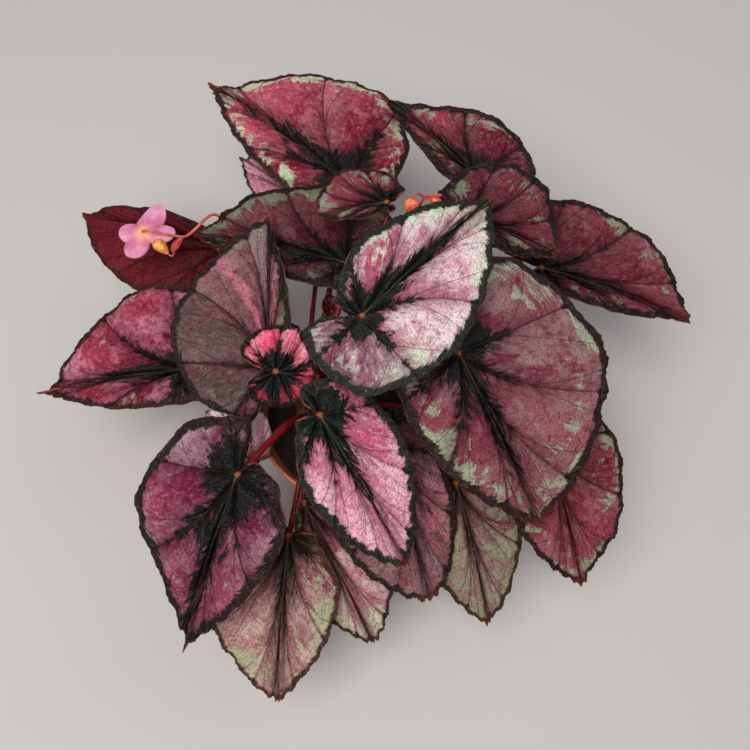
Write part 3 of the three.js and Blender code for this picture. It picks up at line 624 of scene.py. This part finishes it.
def petal_finish(centre):
    """Candy pink in patches, with a blush round the middle, paler ends and a warm glow in the middle."""
    finish = Finish("petal_skin", 0.45, Subsurface_Weight=0.1, Specular_IOR_Level=0.3)
    place = finish.place()
    away = finish.add("VectorMath", {0: place, 1: tuple(centre)}, operation="DISTANCE").outputs["Value"]
    patches = finish.grain(place, 160.0, 5.0, 0.6)
    finish.two_tone(patches, 0.35, 0.65, "#b05a7a", "#c6809a")
    blush = finish.times(finish.ramp(away, 0.003, 0.006), finish.ramp(away, 0.013, 0.007))
    finish.lay(patches, 0.4, 0.6, "#c04058", 0.55, blush)
    finish.lay(away, 0.013, 0.019, "#cd8dae", 0.4)
    finish.lay(away, 0.0085, 0.002, "#dc9a6c", 0.85)
    return finish.coat(normal=finish.raised(patches, 0.0006, 0.5))


def stalk_finish():
    """Dark red skin with paler freckles."""
    finish = Finish("stalk_skin", 0.42, IOR=1.4, Specular_IOR_Level=0.25)
    place = finish.place()
    finish.two_tone(finish.grain(place, 90.0, 5.0, 0.6), 0.3, 0.7, "#43070d", "#7d1319")
    freckle = finish.grain(place, 700.0, 3.0, 0.6)
    finish.lay(freckle, 0.6, 0.7, "#a3453c", 0.4)
    return finish.coat(normal=finish.raised(freckle, 0.0003, 0.6))


# ---- Making pieces ----


def placed(name, data):
    """An object with this data, in the scene."""
    thing = bpy.data.objects.new(name, data)
    bpy.context.scene.collection.objects.link(thing)
    return thing


def mesh_of(name, body):
    mesh = bpy.data.meshes.new(name)
    body.to_mesh(mesh)
    body.free()
    return mesh


def keep(body, name, nodes, materials, faces_turned=False):
    """Makes a finished bmesh a named piece that stands for its nodes, with its faces turned outwards."""
    if not faces_turned:
        bmesh.ops.recalc_face_normals(body, faces=body.faces)
    mesh = mesh_of(name, body)
    for material in materials:
        mesh.materials.append(material)
    mesh.shade_smooth()
    piece = placed(name, mesh)
    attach(piece, "root")
    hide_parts(*nodes)
    return piece


def solid_sheet(piece, thickness):
    """Gives a sheet its thickness, half of it to each side."""
    wall = piece.modifiers.new("thickness", "SOLIDIFY")
    wall.thickness = thickness * MM
    wall.offset = 0
    return wall


def around(angle, distance=1, height=0):
    return Vector((distance * math.cos(angle), distance * math.sin(angle), height))


def spline(points, share):
    """A point on the smooth line through the points, at a share of the way along it."""
    last = len(points) - 1
    spot = share * last
    i = min(int(spot), last - 1)
    t = spot - i
    a, b, c, d = points[max(i - 1, 0)], points[i], points[i + 1], points[min(i + 2, last)]
    rise, fall = (c - a) / 2, (d - b) / 2
    return (2 * b - 2 * c + rise + fall) * t**3 + (3 * c - 3 * b - 2 * rise - fall) * t * t + rise * t + b


# ---- Blades ----


def side_outline(side, length, sign):
    half, lobe, sinus, widest, full = side
    points = [
        Vector(((widest + (1 - widest) * share) * length, sign * half * out ** (1 / full)))
        for share, out in FRONT_OUTLINE
    ]
    start = math.atan2(half, widest * length)
    end = math.radians(sinus)
    for share, of_half, of_lobe in LOBE_OUTLINE:
        angle = start + (end - start) * share
        radius = half * of_half + lobe * of_lobe
        points.append(Vector((radius * math.cos(angle), sign * radius * math.sin(angle))))
    return points


def blade_frame(leaf):
    joint = Vector(leaf["joint"])
    along = Vector(leaf["tip"]) - joint
    length = along.length
    along.normalize()
    up = (Vector((0, 0, 1)) - along * along.z).normalized()
    up.rotate(Quaternion(along, math.radians(leaf["roll"])))
    return joint, along, up.cross(along), up, length


def blade_rise(leaf, length, spot, turn, share):
    """Height above the flat plane: bowed, drooping, pleated at the veins, waved and quilted."""
    along = spot.x / length
    side = 0 if spot.y > 0 else 1
    half = leaf["left" if spot.y > 0 else "right"][0]
    bow = leaf["arch"] * length * 4 * along * (1 - along if along > 0 else 1)
    droop = leaf["sag"][side] * spot.y * spot.y / half
    pleat = PLEAT_SHARE * length * math.cos(2 * math.pi * VEINS * turn) * (1 - share) * share
    wave = leaf["wave"] * math.sin(2 * math.pi * MARGIN_WAVES * turn + length) * share**3
    frill = 0.4 * leaf["wave"] * math.sin(2 * math.pi * 19 * turn + leaf["seed"]) * share**8
    near, far = noise.voronoi(Vector((spot.x / 6, spot.y / 6, leaf["seed"])))[0][:2]
    quilt = min(length / 100, 1) * 1.6 * (far - near) * min(4 * share, 1)
    return bow - droop - pleat + wave + frill + quilt


def crease(leaf, turn, share, across):
    """How deep the blade is pinched in along its veins and their forks, in panels so wide across."""
    vein = round(turn * VEINS)
    aside = abs(turn * VEINS - vein)
    fork_from = FORK_FROM + FORK_SWING * math.sin(FORK_TURN * vein + leaf["seed"])
    fork = abs(aside - FORK_SPREAD * max(share - fork_from, 0))
    depth = VEIN_DEPTH * math.exp(-((aside * across / VEIN_REACH) ** 2))
    depth += FORK_DEPTH * math.exp(-((fork * across / FORK_REACH) ** 2))
    return depth * min(6 * share, 1) * (1 - share**4)


def tooth(leaf, turn, share):
    """How far the toothed edge stands in from the outline."""
    coarse = 0.012 * (1 + math.sin(2 * math.pi * 27 * turn + 3 * leaf["seed"]))
    fine = 0.014 * abs(math.sin(2 * math.pi * 50 * turn + leaf["seed"]))
    return 1 - (coarse + fine) * leaf["teeth"] * share**10


def margin_point(leaf, length, turn):
    outline = side_outline(leaf["right"], length, -1)[::-1] + [Vector((length, 0))]
    outline += side_outline(leaf["left"], length, 1)
    return spline(outline, turn)


def vein_pull(edge, turn):
    """The point that bends the line from the joint to the margin, so that it leaves along the midrib."""
    off_midrib = abs(turn - 0.5)
    pull = min(max((JOINT_VEINS - off_midrib) / (JOINT_VEINS - MIDRIB_VEINS), 0), 1)
    straight = edge / 2
    return straight.lerp(Vector((SPRING_POINT / 0.5 * straight.x, 0)), pull)


def on_sheet(edge, pull, share):
    return pull * 2 * share * (1 - share) + edge * share * share


def blade_point(axes, spot, rise):
    joint, along, left, up, _ = axes
    return joint + along * spot.x + left * spot.y + up * rise


def margin_hairs(hairs, leaf, axes, count):
    """Short stiff hairs round the margin, lying outwards."""
    draw = random.Random(leaf["seed"])
    _, along, left, up, length = axes
    for _ in range(count):
        turn = draw.uniform(0.01, 0.99)
        edge = margin_point(leaf, length, turn)
        spot = edge * tooth(leaf, turn, 1)
        root = blade_point(axes, spot, blade_rise(leaf, length, spot, turn, 1))
        out = (along * edge.x + left * edge.y).normalized()
        way = out + up * draw.uniform(-0.5, 0.7) + up.cross(out) * draw.uniform(-0.7, 0.7)
        hair(hairs, root - out * 0.3, way, draw.uniform(0.8, 1.9), 0.07)


def hair(hairs, root, way, length, radius):
    turned = Vector((0, 0, 1)).rotation_difference(way).to_matrix().to_4x4()
    middle = root + way.normalized() * length / 2
    bmesh.ops.create_cone(
        hairs, cap_ends=True, cap_tris=True, segments=3, radius1=radius * MM, radius2=0,
        depth=length * MM, matrix=Matrix.Translation(middle * MM) @ turned,
    )


def blade_sheet(leaf, axes, columns, rings):
    """The blade as a sheet rolled round its joint, with the sizes that its finish reads."""
    length = axes[4]
    lines = []
    for column in range(columns + 1):
        edge = margin_point(leaf, length, column / columns)
        lines.append((edge, vein_pull(edge, column / columns)))
    sheet = bmesh.new()
    uv = sheet.loops.layers.uv.new("leaf")
    bmesh.ops.create_grid(sheet, x_segments=columns, y_segments=rings, size=0.5, calc_uvs=True)
    sizes = sheet.verts.layers.float_vector.new("leaf_mm")
    flat = sheet.verts.layers.float_vector.new("leaf_flat")
    for vert in sheet.verts:
        turn, share = vert.co.x + 0.5, vert.co.y + 0.5
        column = round(turn * columns)
        edge, pull = lines[column]
        spot = on_sheet(edge, pull, share)
        before, after = max(column - 1, 0), min(column + 1, columns)
        sweep = on_sheet(*lines[after], share) - on_sheet(*lines[before], share)
        sweep = sweep * columns / (after - before)
        way = pull * 2 * (1 - 2 * share) + edge * 2 * share
        way = way.normalized() if way.length > 0 else edge.normalized()
        across = abs(sweep.x * way.y - sweep.y * way.x) / VEINS
        round_edge = (lines[after][0] - lines[before][0]).normalized()
        inward = edge - spot
        inward = abs(inward.x * round_edge.y - inward.y * round_edge.x)
        spot *= tooth(leaf, turn, share)
        rise = blade_rise(leaf, length, spot, turn, share) - crease(leaf, turn, share, across)
        vert.co = blade_point(axes, spot, rise) * MM
        vert[sizes] = (spot.length, across, inward)
        vert[flat] = (spot.x, abs(spot.y), 0)
        for loop in vert.link_loops:
            loop[uv].uv = (turn, share)
    bmesh.ops.remove_doubles(sheet, verts=sheet.verts, dist=1e-7)
    bmesh.ops.recalc_face_normals(sheet, faces=sheet.faces)
    if sheet.faces[len(sheet.faces) // 2].normal.dot(axes[3]) < 0:
        bmesh.ops.reverse_faces(sheet, faces=sheet.faces)
    return sheet


def build_blade(name, leaf, hair_skin):
    axes = blade_frame(leaf)
    length = axes[4]
    columns, rings = (24 * VEINS, 70) if length > 60 else (14 * VEINS, 36)
    sheet = blade_sheet(leaf, axes, columns, rings)
    materials = [BladeFinish(name, leaf, length).made(), underside_finish(name, leaf)]
    piece = keep(sheet, "leaf_" + name, ["blade_" + name], materials, faces_turned=True)
    wall = solid_sheet(piece, BLADE_THICKNESS)
    wall.material_offset = 1
    wall.material_offset_rim = 1
    hairs = bmesh.new()
    margin_hairs(hairs, leaf, axes, int(2.6 * length) + 30)
    keep(hairs, "margin_hairs_" + name, [], [hair_skin])


# ---- Stalks ----


def bezier(points, share):
    a, b, c, d = points
    rest = 1 - share
    return a * rest**3 + b * 3 * rest * rest * share + c * 3 * rest * share * share + d * share**3


def stalk_curve(leaf):
    joint, _, _, up, _ = blade_frame(leaf)
    end = joint - up * (BLADE_THICKNESS / 2 + STALK_SEAT - 0.3)
    distance, degrees = leaf["root"]
    start = CROWN + around(math.radians(degrees), distance, STALK_ROOT)
    reach = (end - start).length
    rise = min(STALK_RISE + STALK_SPRING * reach, max(RIM_RISE, end.z - start.z))
    lift = start + Vector((0, 0, rise))
    turn = end - up * STALK_SETTLE * reach
    return lambda share: bezier((start, lift, turn, end), share)


def heading(curve, share):
    return (curve(min(share + 0.01, 1)) - curve(max(share - 0.01, 0))).normalized()


def tube(mesh, curve, start_radius, end_radius, steps, sides=14, swell=0.0):
    """A round stem along a curve, rolled up from a grid whose first and last rows close its ends."""
    rows = steps + 2
    made = bmesh.ops.create_grid(mesh, x_segments=sides, y_segments=rows, size=0.5)["verts"]
    side = (curve(0.02) - curve(0)).orthogonal().normalized()
    stations = []
    for step in range(steps + 1):
        share = step / steps
        way = heading(curve, share)
        side = (side - way * side.dot(way)).normalized()
        radius = start_radius + (end_radius - start_radius) * share
        stations.append((curve(share), side, way.cross(side), radius * (1 + swell * (1 - 2 * share) ** 6)))
    for vert in made:
        row = round((vert.co.y + 0.5) * rows)
        angle = 2 * math.pi * (vert.co.x + 0.5)
        centre, side, other, radius = stations[min(max(row - 1, 0), steps)]
        radius *= 0 < row < rows
        vert.co = (centre + (side * math.cos(angle) + other * math.sin(angle)) * radius) * MM
    bmesh.ops.remove_doubles(mesh, verts=made, dist=1e-7)


def stalk_hairs(mesh, curve, start_radius, end_radius, count, seed):
    draw = random.Random(seed)
    for _ in range(count):
        share = draw.uniform(0.05, 0.99)
        way = heading(curve, share)
        out = way.orthogonal().normalized()
        out.rotate(Quaternion(way, draw.uniform(0, 2 * math.pi)))
        radius = start_radius + (end_radius - start_radius) * share
        lean = out + way * draw.uniform(-0.3, 0.5)
        hair(mesh, curve(share) + out * (radius - 0.15), lean, draw.uniform(0.7, 2.2), 0.06)


def build_stalk(name, leaf, skin, hair_skin):
    curve = stalk_curve(leaf)
    end_radius = leaf["stalk"] * STALK_TAPER
    stem = bmesh.new()
    tube(stem, curve, leaf["stalk"], end_radius, 40, swell=0.12)
    keep(stem, "stem_" + name, ["stalk_" + name], [skin])
    reach = (curve(1) - curve(0)).length
    hairs = bmesh.new()
    stalk_hairs(hairs, curve, leaf["stalk"], end_radius, int(reach * 2.2), leaf["seed"] + 100)
    keep(hairs, "stem_hairs_" + name, [], [hair_skin])


# ---- Flower and buds ----

FLOWER_STALK = [
    (-41, 19, 78), (-41, 20, 98), (-45, 34, 114), (-54, 66, 119), (-66, 98, 117), (-80, 123, 119),
    (-89, 127, 127.5), (-94, 121.5, 133.5), (-100, 112.5, 135.2), (-106, 106, 136.5),
    (-112, 104.2, 140.5), (-120, 104, 144.5), (-127, 104.7, 146.3), (-130.5, 105.4, 145.2),
    (-132.3, 105.9, 143),
]
FLOWER_STALK_RADIUS = 1.3
FLOWER_STALK_TAPER = 0.5
FLOWER_TURNS = (63, 175, 252, 2)
TEPAL_LENGTHS = (23.5, 14.5, 18, 21.5)
TEPAL_WIDTHS = (15.5, 14.5, 15.5, 13.5)
TEPAL_FALL = 0.08
FLOWER_MIDDLE_RADIUS = 1.8
FLOWER_BUD_BRANCH = [
    (-108, 105.3, 137.5), (-112, 98, 138), (-112.5, 93, 137), (-113.8, 91.6, 136.8),
    (-115.5, 92.6, 137.4),
]
FLOWER_BUD_RADIUS = 5
FLOWER_BUD_LENGTH = 13
FLOWER_BUD_WAY = Vector((-0.7, 0.68, 0.15)).normalized()
FLOWER_BRACT = ((-108, 105.3, 137.5), (-113, 93.5, 139), 2.4)
BUD_STALK = [
    (-10, 15, 78), (-10, 16, 100), (-2, 30, 130), (18, 66, 152), (38, 98, 168), (46, 107, 182),
]
BUD_BRANCHES = [
    [(46, 107, 181), (42, 107, 186), (39.3, 105.5, 185.6), (38.8, 104.6, 184.8)],
    [(46, 107, 181), (46.5, 104, 184.5), (48, 104.4, 184.3), (49.4, 104, 184.2)],
]
BUD_RADII = (4.4, 3.5)
BUD_BRACT = ((46, 107, 182), (56, 106.5, 185), 1.2)


def through(points):
    vectors = [Vector(p) for p in points]
    return lambda share: spline(vectors, share)


def petal(mesh, start, end, half_width, cup, ruffle, seed, root=0.05):
    """A broad rounded petal, cupped, with a slightly ruffled edge and fine lengthwise pleats."""
    grid = bmesh.ops.create_grid(mesh, x_segments=24, y_segments=20, size=1)["verts"]
    along = end - start
    length = along.length
    along.normalize()
    left = Vector((0, 0, 1)).cross(along).normalized()
    up = along.cross(left)
    for vert in grid:
        x, y = vert.co.x, vert.co.y
        share = (1 - math.cos((x + 1) * math.pi / 2)) / 2
        half = half_width * math.sin(math.pi * (root + (1 - root) * share)) ** 0.45 * (0.88 + 0.34 * share)
        across = y * max(half, 0.02)
        edge = abs(y) ** 4
        rise = cup * (across * across / half_width - 2 * share * (1 - share))
        rise += ruffle * edge * math.sin(9 * share + seed) + 0.1 * math.cos(14 * y) * share * (1 - edge)
        vert.co = (start + along * share * length + left * across + up * rise) * MM


def egg(mesh, foot, way, radius, point):
    """A bud: an egg with its round end at the foot, drawn out to a small point along the way."""
    made = bmesh.ops.create_uvsphere(mesh, u_segments=28, v_segments=20, radius=1)["verts"]
    turned = Vector((0, 0, 1)).rotation_difference(way)
    for vert in made:
        share = (vert.co.z + 1) / 2
        crease = 1 - 0.05 * abs(math.sin(1.5 * math.atan2(vert.co.y, vert.co.x)))
        flat = Vector((vert.co.x * (1.1 - 0.5 * share**2), vert.co.y * (0.92 - 0.3 * share), 0)) * crease
        flat.z = vert.co.z * (1 + point * share**3) + 1
        flat.rotate(turned)
        vert.co = (foot + flat * radius) * MM


def build_twig(name, node, curve, branches, steps, skin):
    """A thin stalk and the branches at its end, in so many steps along the one and the others."""
    twig = bmesh.new()
    thin = FLOWER_STALK_RADIUS * FLOWER_STALK_TAPER
    tube(twig, curve, FLOWER_STALK_RADIUS, thin, steps[0])
    for branch in branches:
        tube(twig, branch, thin, thin * STALK_TAPER, steps[1])
    keep(twig, name, [node], [skin])


def build_bract(name, bract, skin, seed):
    start, end, half = bract
    sheet = bmesh.new()
    petal(sheet, Vector(start), Vector(end), half, 0.4, 0.2, seed)
    solid_sheet(keep(sheet, name, [], [skin]), 0.5)


def build_flower(skins):
    curve = through(FLOWER_STALK)
    branch = through(FLOWER_BUD_BRANCH)
    build_twig("flower_stem", "flower_stalk", curve, [branch], (70, 14), skins["flower_stalk_skin"])
    build_bract("flower_bract", FLOWER_BRACT, skins["bract_skin"], 3)

    centre = curve(1) + (curve(1) - curve(0.999)).normalized() * (FLOWER_MIDDLE_RADIUS + 0.3)
    petals = bmesh.new()
    for i, degrees in enumerate(FLOWER_TURNS):
        out = around(math.radians(degrees), 1, -TEPAL_FALL)
        end = centre + out * TEPAL_LENGTHS[i]
        petal(petals, centre - out * 0.5, end, TEPAL_WIDTHS[i] / 2, -0.4, 0.3, i, 0.22)
    petal_skin = petal_finish(curve(1) * MM)
    solid_sheet(keep(petals, "petals", ["flower_tepals"], [petal_skin]), 0.5)
    middle = bmesh.new()
    egg(middle, centre - Vector((0, 0, FLOWER_MIDDLE_RADIUS)), Vector((0, 0, 1)), FLOWER_MIDDLE_RADIUS, 0.1)
    keep(middle, "petal_base", [], [skins["flower_base_skin"]])

    stamens = bmesh.new()
    draw = random.Random(7)
    for i in range(46):
        lean = math.sqrt((i + 0.5) / 46) * 1.15
        spin = i * 2.39996
        way = Vector((math.sin(lean) * math.cos(spin), math.sin(lean) * math.sin(spin), -math.cos(lean)))
        knob = centre + way * draw.uniform(5, 6.6)
        tube(stamens, lambda share, a=centre, b=knob: a + (b - a) * share, 0.22, 0.16, 2, 6)
        turned = Matrix.Translation(knob * MM) @ way.to_track_quat("Z", "Y").to_matrix().to_4x4()
        bmesh.ops.create_icosphere(
            stamens, subdivisions=1, radius=0.62 * MM, matrix=turned @ Matrix.Diagonal((0.8, 0.8, 1.4, 1))
        )
    keep(stamens, "stamens", ["flower_stamens"], [skins["stamen_skin"]])

    bud = bmesh.new()
    foot = branch(1) + FLOWER_BUD_WAY * FLOWER_BUD_LENGTH
    egg(bud, foot, -FLOWER_BUD_WAY, FLOWER_BUD_RADIUS, 0.6)
    keep(bud, "yellow_bud", ["flower_bud"], [skins["yellow_bud_skin"]])


def build_buds(skins):
    branches = [through(points) for points in BUD_BRANCHES]
    build_twig("bud_stem", "bud_stalk", through(BUD_STALK), branches, (60, 12), skins["bud_stalk_skin"])
    build_bract("bud_bract", BUD_BRACT, skins["bract_skin"], 5)
    for i, (branch, radius) in enumerate(zip(branches, BUD_RADII), 1):
        bud = bmesh.new()
        egg(bud, branch(1), (branch(1) - branch(0.9)).normalized(), radius, 0.35)
        keep(bud, "red_bud_%d" % i, ["bud_%d" % i], [skins["red_bud_skin"]])


# ---- Pot, soil and crown ----


def lathe(profile, steps):
    """A closed body from a profile of radius and height that starts and ends on the axis."""
    body = bmesh.new()
    verts = [body.verts.new((radius * MM, 0, height * MM)) for radius, height in profile]
    edges = [body.edges.new(pair) for pair in zip(verts, verts[1:])]
    bmesh.ops.spin(
        body, geom=verts + edges, cent=(0, 0, 0), axis=(0, 0, 1), angle=2 * math.pi, steps=steps,
        use_merge=True,
    )
    bmesh.ops.remove_doubles(body, verts=body.verts, dist=1e-6)
    bmesh.ops.recalc_face_normals(body, faces=body.faces)
    return body


def build_pot(skin):
    under = POT_HEIGHT - COLLAR_DEPTH
    shoulder = RIM_RADIUS - COLLAR_STEP
    inside = RIM_RADIUS - POT_WALL
    profile = [
        (0, 0), (BASE_RADIUS - 2, 0), (BASE_RADIUS, 1), (shoulder, under), (RIM_RADIUS - 0.6, under),
        (RIM_RADIUS, under + 0.8), (RIM_RADIUS, POT_HEIGHT - 0.6), (RIM_RADIUS - 0.6, POT_HEIGHT),
        (inside + 0.5, POT_HEIGHT), (inside, POT_HEIGHT - 0.6), (inside, POT_HEIGHT - 3.5),
        (inside - 0.6, POT_HEIGHT - 4.2), (inside - 1, under + POT_WALL),
        (shoulder - POT_WALL, under - POT_WALL), (BASE_RADIUS - POT_WALL, FLOOR_THICKNESS),
        (0, FLOOR_THICKNESS),
    ]
    pot = keep(lathe(profile, 144), "pot_shell", ["pot"], [skin])
    drills = bmesh.new()
    for i in range(DRAIN_HOLES):
        spot = around(2 * math.pi * i / DRAIN_HOLES) * DRAIN_RING * MM
        bmesh.ops.create_cone(
            drills, cap_ends=True, segments=24, radius1=DRAIN_RADIUS * MM, radius2=DRAIN_RADIUS * MM,
            depth=20 * MM, matrix=Matrix.Translation(spot),
        )
    drill = placed("drills", mesh_of("drills", drills))
    cut = pot.modifiers.new("drain_holes", "BOOLEAN")
    cut.operation = "DIFFERENCE"
    cut.object = drill
    graph = bpy.context.evaluated_depsgraph_get()
    pot.data = bpy.data.meshes.new_from_object(pot.evaluated_get(graph))
    pot.modifiers.clear()
    bpy.data.objects.remove(drill)
    pot.data.shade_smooth()
    pot.data.set_sharp_from_angle(angle=math.radians(28))


def build_soil(skin):
    inner = BASE_RADIUS - POT_WALL - 0.6
    slope = (RIM_RADIUS - COLLAR_STEP - BASE_RADIUS) / (POT_HEIGHT - COLLAR_DEPTH)
    edge = SOIL_TOP - 2
    wall = inner + slope * (edge - FLOOR_THICKNESS)
    rings = 26
    top = [(wall * (1 - i / rings), edge + 2 * min(i / 5, 1)) for i in range(1, rings + 1)]
    body = lathe([(0, FLOOR_THICKNESS + 0.3), (inner, FLOOR_THICKNESS + 0.3), (wall, edge)] + top, 110)
    for vert in body.verts:
        if vert.co.z > (edge + 0.3) * MM:
            spot = vert.co / MM
            lumps = noise.fractal(Vector((spot.x / 7, spot.y / 7, 1)), 0.8, 2.1, 4)
            vert.co.z += 1.1 * lumps * MM
    draw = random.Random(11)
    for _ in range(420):
        distance, angle = 53 * math.sqrt(draw.random()), draw.uniform(0, 2 * math.pi)
        size = draw.uniform(0.5, 1.9)
        spot = around(angle, distance, SOIL_TOP + 0.3 * size)
        turned = Quaternion((draw.random(), draw.random(), 1), draw.uniform(0, 6)).to_matrix().to_4x4()
        stretch = Matrix.Diagonal((draw.uniform(0.6, 1.3), draw.uniform(0.6, 1.2), draw.uniform(0.5, 0.9), 1))
        bmesh.ops.create_icosphere(
            body, subdivisions=1, radius=size * MM, matrix=Matrix.Translation(spot * MM) @ turned @ stretch
        )
    keep(body, "potting_soil", ["soil"], [skin])


def build_crown(skin, bract_skin):
    body = bmesh.new()
    bmesh.ops.create_uvsphere(body, u_segments=72, v_segments=44, radius=1)
    for vert in body.verts:
        x, y, z = vert.co
        lump = 1 + 0.06 * math.sin(5 * x + 2) * math.cos(6 * y) + 0.04 * math.sin(9 * z)
        lump += 0.05 * noise.fractal(vert.co * 3, 0.9, 2.0, 4)
        spot = Vector((x * CROWN_RADIUS, y * CROWN_RADIUS * CROWN_NARROWING, z * CROWN_HEIGHT)) * lump
        vert.co = (CROWN + spot + Vector((0, 0, SOIL_TOP))) * MM
    bmesh.ops.bisect_plane(
        body, geom=body.verts[:] + body.edges[:] + body.faces[:], plane_co=(0, 0, (SOIL_TOP - 1.5) * MM),
        plane_no=(0, 0, -1), clear_outer=True,
    )
    bmesh.ops.contextual_create(body, geom=[e for e in body.edges if e.is_boundary])
    keep(body, "rootstock", ["crown"], [skin])
    scales = bmesh.new()
    draw = random.Random(5)
    for i in range(16):
        ring = draw.uniform(8, 17)
        out = around(i * 2.4)
        foot = CROWN + out * ring + Vector((0, 0, SOIL_TOP + 7 - 0.3 * ring))
        tip = foot + out * draw.uniform(2, 5) + Vector((0, 0, draw.uniform(5, 10)))
        petal(scales, foot, tip, draw.uniform(1.8, 3), 0.8, 0.3, i)
    solid_sheet(keep(scales, "crown_scales", [], [bract_skin]), 0.3)


# ---- Setting ----


def build_setting():
    scene = bpy.context.scene
    scene.view_settings.view_transform = "Standard"
    sheet = bmesh.new()
    bmesh.ops.create_grid(sheet, x_segments=1, y_segments=1, size=6)
    floor = placed("floor", mesh_of("floor", sheet))
    pale = Finish("pale_floor", 0.85)
    pale.colour = tint("#a8a4a2")
    floor.data.materials.append(pale.coat())

    world = bpy.data.worlds.new("studio")
    world.use_nodes = True
    world.node_tree.nodes["Background"].inputs[0].default_value = (0.95, 0.97, 1, 1)
    world.node_tree.nodes["Background"].inputs[1].default_value = 0.36
    scene.world = world
    lamps = [
        ("key", (-0.35, -0.35, 1.6), 1.2, 36, (1, 0.97, 0.94)),
        ("fill", (0.9, 0.8, 1.4), 1.2, 6, (0.94, 0.97, 1)),
    ]
    for name, spot, size, watts, colour in lamps:
        lamp = bpy.data.lights.new(name, "AREA")
        lamp.size = size
        lamp.energy = watts
        lamp.color = colour
        holder = placed(name, lamp)
        holder.location = spot
        aim = Vector((0, 0, 0.1)) - Vector(spot)
        holder.rotation_euler = aim.to_track_quat("-Z", "Y").to_euler()

    lens = bpy.data.cameras.new("camera")
    lens.lens = 35
    lens.sensor_width = 36
    lens.clip_start = 0.01
    camera = placed("camera", lens)
    camera.location = (0.0168, -0.1256, 0.5584)
    camera.rotation_euler = (math.radians(18), 0, 0)
    scene.camera = camera


# ---- The whole plant ----


def build_plant():
    skins = {name: mottled_finish(name, *looks) for name, looks in SKINS.items()}
    stalk_skin = stalk_finish()
    for seed, (name, own) in enumerate(LEAVES.items(), 1):
        leaf = {**PLAIN_LEAF, **own, "seed": seed}
        build_blade(name, leaf, skins["margin_hair"])
        build_stalk(name, leaf, stalk_skin, skins["stalk_hair"])
    build_flower(skins)
    build_buds(skins)
    build_pot(pot_finish())
    build_soil(skins["soil_crumbs"])
    build_crown(skins["rootstock_bark"], skins["dry_scales"])


build_plant()
build_setting()
